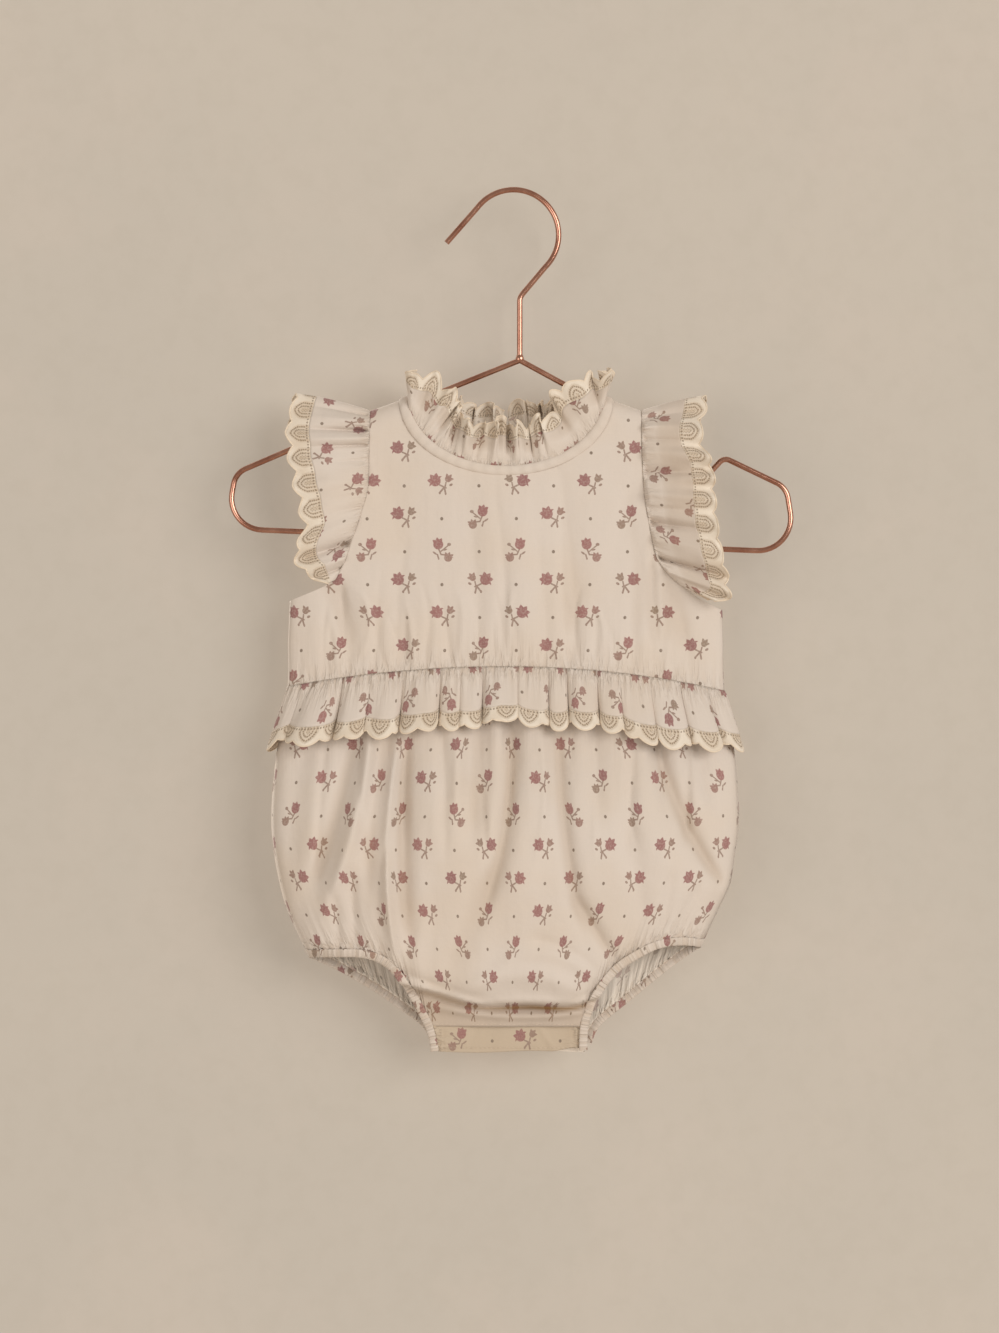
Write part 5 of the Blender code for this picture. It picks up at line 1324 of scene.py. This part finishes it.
def makeBottom():
    away = bubble["casing"] - 0.25
    for side, (cells, crotchCells, rows, seed) in bubble["cells"].items():
        depth = bubbleDepth[side]
        left = aboveLine(legEdge(side + "Left", cells, away), bubble["seamZ"])
        right = aboveLine(legEdge(side + "Right", cells, away), bubble["seamZ"])[::-1]
        bottom = np.concatenate([left[:-1], np.linspace(left[-1], right[0], crotchCells + 1), right[1:]])
        x = np.linspace(float(sectionAt(-266, "left")), float(sectionAt(-267, "right")), len(bottom))
        top = joined(x, waistZ(x) - 0.1)
        edges = []
        for hand, end in (("left", 0), ("right", -1)):
            heights = np.linspace(top[end][1], bottom[end][1], rows)
            edges.append(joined(sectionAt(heights, hand), heights))
        points = raised(coons(top, bottom, *edges), depth)
        run = lengthsOf(points[-1][:, [0, 2]])
        points[..., 1] -= facing[side] * legGathers(points, run, seed, onLegs(run, len(left), len(left)))
        x, z = points[..., 0], points[..., 2]
        run = lengthsOf(bottom)
        # the gather map: nearness to the waist and leg seams for the pleats and their painted shade
        waist = np.exp((z - waistZ(x)) / 14)
        leg = np.exp(-np.linalg.norm(points - points[-1], axis=2) / 7) * onLegs(run, len(left), len(right))
        close = np.maximum(leg, waist)
        if side == "front":
            close = paintFoldShade(close, panelFolds(bubble, side, x, z), 0.2, 0.9, 3.4)
            # painted shade under the fold that hangs over the placket, and a lighter painted shade on the band below it
            under = creaseLine(x) - 0.9 - z
            dark = bell(under / 1.3) * (0.45 + 0.5 * bell((x - 16) / 26))
            shaded = np.maximum(dark, 0.28 * eased(under / 2.5)) * eased((-400 - z) / 15)
            close = np.where(shaded > 0.02, -shaded, close)
        clothPiece("panel", "bubble" + side.title(), points, printPlace(points, depth, bubble["cut"]), "bottom_" + side,
                   flip=side == "back", gather=(np.where(leg > waist, run + 700, x), close))


makeBottom()
print("bubble made")


# leg casings

casing = {
    "cells": 220, "pleat": 2.7, "depth": 0.16,
    "profile": ((4.6, 0), (4.1, 0.35), (3.1, 0.5), (2, 0.6), (0.9, 0.5), (0.1, 0.2), (0, -0.15), (0.5, -0.55),
                (2, -0.75), (3.6, -0.6), (4.3, -0.4), (4.6, 0)),
}


def makeCasings():
    for side, hand in ((side, hand) for side in facing for hand in turning):
        where = side + hand.title()
        run = lengthsOf(legEdge(where, casing["cells"], 2))
        start = np.random.default_rng(len(where) + 7 * facing[side]).uniform(0, 6)
        phase = tau * run / casing["pleat"] + 2.2 * np.sin(run / 9 + start) + 1.1 * np.sin(run / 3.7)
        gather = casing["depth"] * np.sin(phase) * eased(np.minimum(run, run[-1] - run) / 5)
        loops = []
        for distance, lift in casing["profile"]:
            x, z = legEdge(where, casing["cells"], distance).T
            loops.append(joined(x, faceY[side](x, z) + facing[side] * (lift + gather * (1 if lift > 0 else 0.3)), z))
        points = np.stack(loops)
        # the gather map lays pleat relief and painted shade between pleats along the whole casing
        cappedBand("legCasing" + side.title() + hand.title(), f"leg_casing_{side}_{hand}", "printed_cotton",
                   printedCloth, points, points[..., ::2] * (1.5, 1), (run, 0.75))


makeCasings()
print("leg casings made")


# crotch placket with its press studs

placket = {
    "top": -446.7, "foot": -461.2, "frontY": -8.9, "backY": -2.4, "frontTilt": 2.9, "backTilt": 0, "frontHem": 2.6,
    "backHem": 0, "printX": 15.6, "printZ": -2.2, "cells": 76, "columns": 130, "rows": 22, "studs": (-27, -1.5, 24),
    "studRadius": 4, "studTop": -447.7, "studInset": 1.5,
}


def makePlacket():
    for side, face in facing.items():
        left, right = (legEdge(side + hand, placket["cells"], bubble["casing"] - 0.2) for hand in ("Left", "Right"))
        rows = []
        for z in np.linspace(placket["top"], placket["foot"], placket["rows"]):
            reach = max(z, left[-1][1] + 0.06, right[-1][1] + 0.06)
            start, end = aboveLine(left, reach)[-1][0], aboveLine(right, reach)[-1][0]
            x = np.linspace(start, end, placket["columns"])
            down = (placket["top"] - z) / (placket["top"] - placket["foot"])
            hem = (0.5 * np.sin(x * 0.105 + 0.5) + placket[side + "Hem"] * eased((x - 20) / 14)) * down
            puff = 0.7 * np.sin(math.pi * min(down * 1.05, 1)) + 0.5 * np.sin(x * 0.16 + 2 * down)
            puff = puff + 0.8 * bell((x - 14 - 9 * down) / 2.2) - 0.6 * bell((x + 18 + 6 * down) / 1.8)
            gather = 0.22 * np.sin(x * 2.1 + 1.3 * np.sin(x * 0.7)) * (1 - eased(np.minimum(x - start, end - x) / 8))
            tilt = placket[side + "Tilt"] * (0.5 - down)
            rows.append(joined(x, placket[side + "Y"] - tilt + face * (puff * 0.5 + gather - 0.25), z + hem))
        points = np.stack(rows)
        x, z = points[..., 0], points[..., 2]
        uv = joined((x + placket["printX"]) * 1.1, z + placket["printZ"]) * mm
        # nearness to the ends, for the gathers there and their painted shade
        close = np.exp(-np.minimum(x - x[:, :1], x[:, -1:] - x) / 5)
        clothPiece("double", "placket" + side.title(), points, uv, "placket_" + side,
                   flip=side == "back", gather=(z * 1.2, close))


def turnedPiece(name, profile, segments, look, spot, edge=True):
    # turns a profile of (radius, offset) pairs; spot tells where the axis lies
    angles = [tau * k / segments for k in range(segments)]
    verts = [[c * mm for c in spot(radius * math.cos(a), off, radius * math.sin(a))] for radius, off in profile
             for a in angles]
    faces = [(i + k, i + (k + 1) % segments, i + segments + (k + 1) % segments, i + segments + k)
             for i in range(0, len(verts) - segments, segments) for k in range(segments)]
    faces += [tuple(range(segments)), tuple(reversed(range(len(verts) - segments, len(verts))))]
    obj = linked(name, newMesh(name, verts, faces, [look]))
    heal(obj.data, False)
    if edge:
        bevel = obj.modifiers.new("edge", "BEVEL")
        bevel.width, bevel.segments, bevel.limit_method = 0.12 * mm, 2, "ANGLE"
    return obj


def makeStuds():
    front, back = placket["frontY"] + placket["studInset"], placket["backY"] - placket["studInset"]
    z, r = (placket["studTop"] + placket["foot"]) / 2, placket["studRadius"]
    profile = ((r - 0.5, front), (r, front + 0.5), (r, front + 1.3), (r - 0.7, front + 1.6),
               (r - 0.7, back - 1.3), (r, back - 1.1), (r, back - 0.4), (r - 0.5, back))
    for number, x in enumerate(placket["studs"], 1):
        obj = turnedPiece(f"pressStud{number}", profile, 40, steelLook, lambda a, off, b: (x + a, off, z + b))
        keep(obj, f"press_stud_{number}", "press_stud")


makePlacket()
makeStuds()
print("placket made")


# neck button and thread loop at the back

button = {"radius": 4.5, "thick": 2.2, "z": -144.6, "off": 6.2, "wire": 0.5, "hole": 0.9}


def pathHolder(name, paths, cyclic=False):
    curve = bpy.data.curves.new(name + "Path", "CURVE")
    curve.dimensions = "3D"
    for path in paths:
        spline = curve.splines.new("POLY")
        spline.points.add(len(path) - 1)
        flat = np.concatenate([np.asarray(path) * mm, np.ones((len(path), 1))], axis=1)
        spline.points.foreach_set("co", flat.astype(np.float32).reshape(-1))
        spline.use_cyclic_u = cyclic
    return linked(name + "Path", curve)


def bakedPiece(name, holder, material):
    # a plain mesh from an object's evaluated form
    bpy.context.view_layer.update()
    mesh = bpy.data.meshes.new_from_object(holder.evaluated_get(bpy.context.evaluated_depsgraph_get()))
    mesh.name = name
    mesh.materials.clear()
    mesh.materials.append(material)
    bpy.data.objects.remove(holder)
    mesh.shade_smooth()
    return linked(name, mesh)


def tubePiece(name, path, radius, material, resolution, cyclic=False):
    holder = pathHolder(name, [path], cyclic)
    holder.data.bevel_depth = radius * mm
    holder.data.bevel_resolution = resolution
    holder.data.use_fill_caps = True
    return bakedPiece(name, holder, material)


def arc(centre, radius, start, turn, steps):
    angles = [math.radians(start + turn * k / steps) for k in range(steps + 1)]
    return [(centre[0] + radius * math.cos(a), centre[1] + radius * math.sin(a)) for a in angles]


def makeButton():
    x, z = form["centreX"] - button["off"], button["z"]
    y = float(backY(x, z)) + 0.3
    r, t, hole = button["radius"], button["thick"], button["hole"]
    profile = ((r - 0.7, y), (r, y + 0.6), (r, y + t - 0.5), (r - 0.5, y + t), (r - 1.3, y + t),
               (r - 1.7, y + t - 0.45), (0.3, y + t - 0.55))
    disc = turnedPiece("neckButton", profile, 48, buttonLook, lambda a, off, b: (x + a, off, z + b))
    keep(disc, "neck_button", "button")
    for number, dx in enumerate((-hole, hole), 1):
        path = [(x + dx, y + t - 0.35, z - hole), (x, y + t + 0.05, z), (x - dx, y + t - 0.35, z + hole)]
        keep(tubePiece(f"buttonThread{number}", path, 0.2, threadLook, 8), None, "plain_cotton")
    reach = r + button["wire"] + 0.3
    root = x + reach + 3
    path = [(root, z + 1.4), *arc((x, z), reach, 20, 320, 32), (root, z - 1.4)]
    path = [(px, y + 0.5, pz) for px, pz in path]
    keep(tubePiece("neckLoop", path, button["wire"], cordLook, 4), "neck_loop", "plain_cotton")


makeButton()
print("button made")


# wire hanger

hanger = {
    "wire": 1.5, "hookRadius": 24.3, "hookCentre": (0.8, -22.8), "hookTip": (-35.2, -27.1),
    "bend": (4.2, -56.4), "foot": -88.7, "bendRun": ((1.6, 2), (0.9, 1), (0.35, 0), (0.05, -1), (0, -2)),
    "bead": ((0.4, 1.8), (1.45, 1.4), (1.75, 0.3), (2, -0.8), (1.7, -2), (0.5, -2.9)),
    "corners": (
        (4.2, -90.2, 1.5), (86, -134.6, 6), (99.5, -158, 5), (114, -142.5, 4.5),
        (147.5, -158.6, 11), (153, -193.4, 17.5), (-154, -180.6, 17), (-148.5, -150.8, 11),
        (-107, -133, 4.5), (-94.5, -149, 5), (-80.5, -124.4, 6),
    ),
}


def hangerPath():
    path, corners = [], hanger["corners"]
    for i, (x, z, radius) in enumerate(corners):
        here = Vector((x, z))
        before = Vector(corners[i - 1][:2]) - here
        after = Vector(corners[(i + 1) % len(corners)][:2]) - here
        half = before.angle(after) / 2
        reach = radius / math.tan(half)
        start, end = here + before.normalized() * reach, here + after.normalized() * reach
        for t in (k / 12 for k in range(13)):
            weight = 2 * t * (1 - t) * math.sin(half)
            point = ((1 - t) ** 2 * start + t ** 2 * end + weight * here) / ((1 - t) ** 2 + t ** 2 + weight)
            path.append((point.x, 0, point.y))
    return path


def makeHanger():
    keep(tubePiece("hangerFrame", hangerPath(), hanger["wire"], roseGold, 7, True), "hanger_frame", "rose_gold_wire")
    (bx, bz), foot = hanger["bend"], hanger["foot"]
    path = [hanger["hookTip"], *arc(hanger["hookCentre"], hanger["hookRadius"], 143, -188, 56)]
    path += [(bx + dx, bz + dz) for dx, dz in hanger["bendRun"]] + [(bx, foot)]
    path = [(x, 0, z) for x, z in path]
    keep(tubePiece("hangerHook", path, hanger["wire"], roseGold, 7), "hanger_hook", "rose_gold_wire")
    profile = [(radius, foot + dz) for radius, dz in hanger["bead"]]
    bead = turnedPiece("weldBead", profile, 20, roseGold, lambda a, off, b: (bx + a * 1.15, b, off), False)
    keep(bead, None, "rose_gold_wire")


makeHanger()
print("hanger made")


# lace edge cords and rows of stitches

def pathTree(name, given, step):
    # a geometry tree, with even places along the path that it is given
    tree = bpy.data.node_groups.new(name, "GeometryNodeTree")
    kinds = {"Geometry": "NodeSocketGeometry", "Look": "NodeSocketMaterial"}
    for label in ("Geometry", *given, "Look"):
        kind = kinds.get(label, "NodeSocketFloat")
        socket = tree.interface.new_socket(name=label, in_out="INPUT", socket_type=kind)
        if label in given:
            socket.default_value = given[label]
    tree.interface.new_socket(name="Geometry", in_out="OUTPUT", socket_type="NodeSocketGeometry")
    desk = Desk(tree)
    source = desk.node("NodeGroupInput").outputs
    values = {"Curve": source["Geometry"], "Length": source[step]}
    return desk, source, desk.wired("GeometryNodeResampleCurve", values, mode="LENGTH")


def closeTree(desk, source, shape):
    real = desk.wired("GeometryNodeRealizeInstances", {"Geometry": shape})
    look = desk.wired("GeometryNodeSetMaterial", {"Geometry": real, "Material": source["Look"]})
    desk.feed(desk.node("NodeGroupOutput").inputs["Geometry"], look)
    return desk.tree


def makeCordTree():
    # a twisted thread laid along a path
    desk, source, path = pathTree("laidCord", {"Radius": 0.0004, "Spacing": 0.0009}, "Spacing")
    ring = desk.wired("GeometryNodeCurvePrimitiveCircle", {"Resolution": 6, "Radius": source["Radius"]}, mode="RADIUS")
    sweep = desk.wired("GeometryNodeCurveToMesh", {"Curve": path, "Profile Curve": ring, "Fill Caps": True})
    return closeTree(desk, source, sweep)


def makeStitchTree():
    # small raised stitches at a set pitch along a path
    given = {"Pitch": 0.0024, "Length": 0.0017, "Thickness": 0.00022}
    desk, source, path = pathTree("stitchRow", given, "Pitch")
    ball = desk.wired("GeometryNodeMeshUVSphere", {"Segments": 6, "Rings": 4, "Radius": 0.5})
    size = desk.join(source["Thickness"], source["Thickness"], source["Length"])
    stitch = desk.wired("GeometryNodeTransform", {"Geometry": ball, "Scale": size})
    ahead = desk.wired("GeometryNodeInputTangent", ())
    turned = desk.wired("FunctionNodeAlignRotationToVector", {"Vector": ahead}, axis="Z")
    rows = desk.wired("GeometryNodeInstanceOnPoints", {"Points": path, "Instance": stitch, "Rotation": turned})
    return closeTree(desk, source, rows)


def alongPaths(name, paths, tree, material, **values):
    # runs a tree along one or more paths and keeps the result as a plain mesh
    holder = pathHolder(name, paths)
    modifier = holder.modifiers.new("rows", "NODES")
    modifier.node_group = tree
    sockets = {item.name: item.identifier for item in tree.interface.items_tree
               if item.item_type == "SOCKET" and item.in_out == "INPUT"}
    for label, value in {**values, "Look": material}.items():
        modifier[sockets[label]] = value
    holder.update_tag()
    return bakedPiece(name, holder, material)


cordTree = makeCordTree()
stitchTree = makeStitchTree()
for cordName, path, radius in laceEdges:
    keep(alongPaths(cordName, [path], cordTree, cordLook, Radius=radius * mm, Spacing=0.0008), None, "cotton_lace")
print("lace edges made")

stitching = {
    "waist": (-119, 112.5), "backWaist": ((-119, -4), (-2.4, 112.5)), "centre": (-142, -254), "beside": 1.6,
    "legs": {"front": (-40, 37), "back": (-38, 37)}, "legZ": -446, "hemZ": -459, "aboveSeam": 0.55,
    "waistLift": 0.25, "legLift": 0.1, "hemLift": 0.5, "centreLift": 0.05,
}


def makeStitches():
    x = np.linspace(*stitching["waist"], 300)
    z = np.linspace(*stitching["centre"], 160)

    def onBodice(side, x, z, lift):
        return joined(x, bodiceDepth[side](x, z) + facing[side] * lift, z)

    def onWaist(side, x):
        return onBodice(side, x, waistZ(x) + stitching["aboveSeam"], stitching["waistLift"])

    def onLeg(side):
        x, z = np.linspace(*stitching["legs"][side], 120), stitching["legZ"]
        return joined(x, faceY[side](x, z) + facing[side] * stitching["legLift"], z)

    hem = joined(onLeg("front")[:, 0], placket["frontY"] + stitching["hemLift"], stitching["hemZ"])
    centre = [onBodice("back", np.full(160, form["centreX"] + off), z, stitching["centreLift"])
              for off in (-stitching["beside"], stitching["beside"])]
    halves = [onWaist("back", x[(x > lo) & (x < hi)]) for lo, hi in stitching["backWaist"]]
    rows = (("waistStitches", threadLook, [onWaist("front", x)]),
            ("crotchStitches", creamThread, [onLeg("front"), hem]),
            ("backWaistStitches", threadLook, halves), ("backStitches", creamThread, [*centre, onLeg("back")]))
    for name, look, paths in rows:
        keep(alongPaths(name, paths, stitchTree, look), None, "plain_cotton")


makeStitches()
print("stitches made")


# stage, light and camera

stage = {"wallY": 0.0265, "half": 1.5, "floorZ": -1.1, "top": 1.3, "bend": 0.12, "near": -2.6, "glow": 0.355}


def makeWallLook():
    material, desk, shader = newMaterial("plasterWall")
    body = desk.body()
    clouds, fine = desk.noise(body, 9, 5, 0.6), desk.noise(body, 90, 4, 0.6)
    tone = desk.mix(desk.noise(body, 2.6, 4, 0.55).ramp(0.3, 0.7), srgb(203, 192, 178), srgb(198, 188, 175))
    tone = desk.mix(clouds.ramp(0.45, 0.75) * 0.35, tone, srgb(209, 195, 181))
    tone = desk.mix(fine.ramp(0.4, 0.7) * 0.1, tone, srgb(182, 171, 155))
    desk.finish(shader, {
        "Base Color": desk.mix(1, tone, srgb(202, 202, 202), "MULTIPLY"), "Emission Color": tone,
        "Emission Strength": stage["glow"], "Roughness": 0.95, "Specular IOR Level": 0.1},
        (0.12, 0.001, clouds + fine * 0.4))
    # seen from behind, and by the light, the wall is clear
    seen, light = desk.node("ShaderNodeNewGeometry"), desk.node("ShaderNodeLightPath")
    share = desk.calc("MAXIMUM", seen.outputs["Backfacing"], light.outputs["Is Shadow Ray"])
    clear = desk.wired("ShaderNodeBsdfTransparent", ())
    both = desk.wired("ShaderNodeMixShader", (share, shader.outputs[0], clear))
    desk.feed(material.node_tree.nodes["Material Output"].inputs["Surface"], both)
    return material


def makeStage():
    y, foot, bend = stage["wallY"], stage["floorZ"], stage["bend"]
    profile = [(y, stage["top"]), *arc((y - bend, foot + bend), bend, 0, -90, 8), (stage["near"], foot)]
    verts = [(x, py, pz) for py, pz in profile for x in (-stage["half"], stage["half"])]
    faces = [(2 * i, 2 * i + 2, 2 * i + 3, 2 * i + 1) for i in range(len(profile) - 1)]
    linked("plasterWall", newMesh("plasterWall", verts, faces, [makeWallLook()]))


lights = {
    "key": {"place": (3.35, -4.1, 0.8), "aimZ": -0.3, "size": (3.8, 3), "power": 186, "colour": (1, 0.985, 0.965)},
    "fill": {"place": (-2.6, -3.4, -0.7), "aimZ": -0.3, "size": (3.2, 2.8), "power": 54, "colour": (1, 0.95, 0.9)},
    "behind": {"place": (-0.8, 2.4, 0.9), "aimZ": -0.25, "size": (2, 1.6), "power": 75, "colour": (1, 0.96, 0.9)},
}
room = {"colour": (0.96, 0.88, 0.77, 1), "strength": 0.415}


def makeLights():
    for name, spec in lights.items():
        lamp = bpy.data.lights.new(name + "Light", "AREA")
        lamp.shape = "RECTANGLE"
        lamp.size, lamp.size_y = spec["size"]
        lamp.energy, lamp.color = spec["power"], spec["colour"]
        obj = linked(name + "Light", lamp)
        obj.location = spec["place"]
        aim = Vector((0, 0, spec["aimZ"])) - Vector(spec["place"])
        obj.rotation_euler = aim.to_track_quat("-Z", "Y").to_euler()
    world = bpy.data.worlds.new("softRoom")
    bpy.context.scene.world = world
    world.use_nodes = True
    back = world.node_tree.nodes["Background"]
    back.inputs["Color"].default_value = room["colour"]
    back.inputs["Strength"].default_value = room["strength"]


camera = {"away": 2, "tall": 0.7166, "x": -0.0067, "z": -0.2548, "sensor": 36, "clip": (0.05, 20)}


def makeCamera():
    data = bpy.data.cameras.new("frontCamera")
    data.sensor_width = camera["sensor"]
    data.lens = camera["sensor"] * camera["away"] / camera["tall"]
    data.clip_start, data.clip_end = camera["clip"]
    obj = linked("frontCamera", data)
    obj.location = (camera["x"], -camera["away"], camera["z"])
    obj.rotation_euler = (math.pi / 2, 0, 0)
    bpy.context.scene.camera = obj


makeStage()
makeLights()
makeCamera()
bpy.context.scene.view_settings.view_transform = "Standard"
print("stage, light and camera made")

for piece, node, slotName in made:
    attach(piece, "root")
    if node:
        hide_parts(node)

bpy.context.view_layer.update()
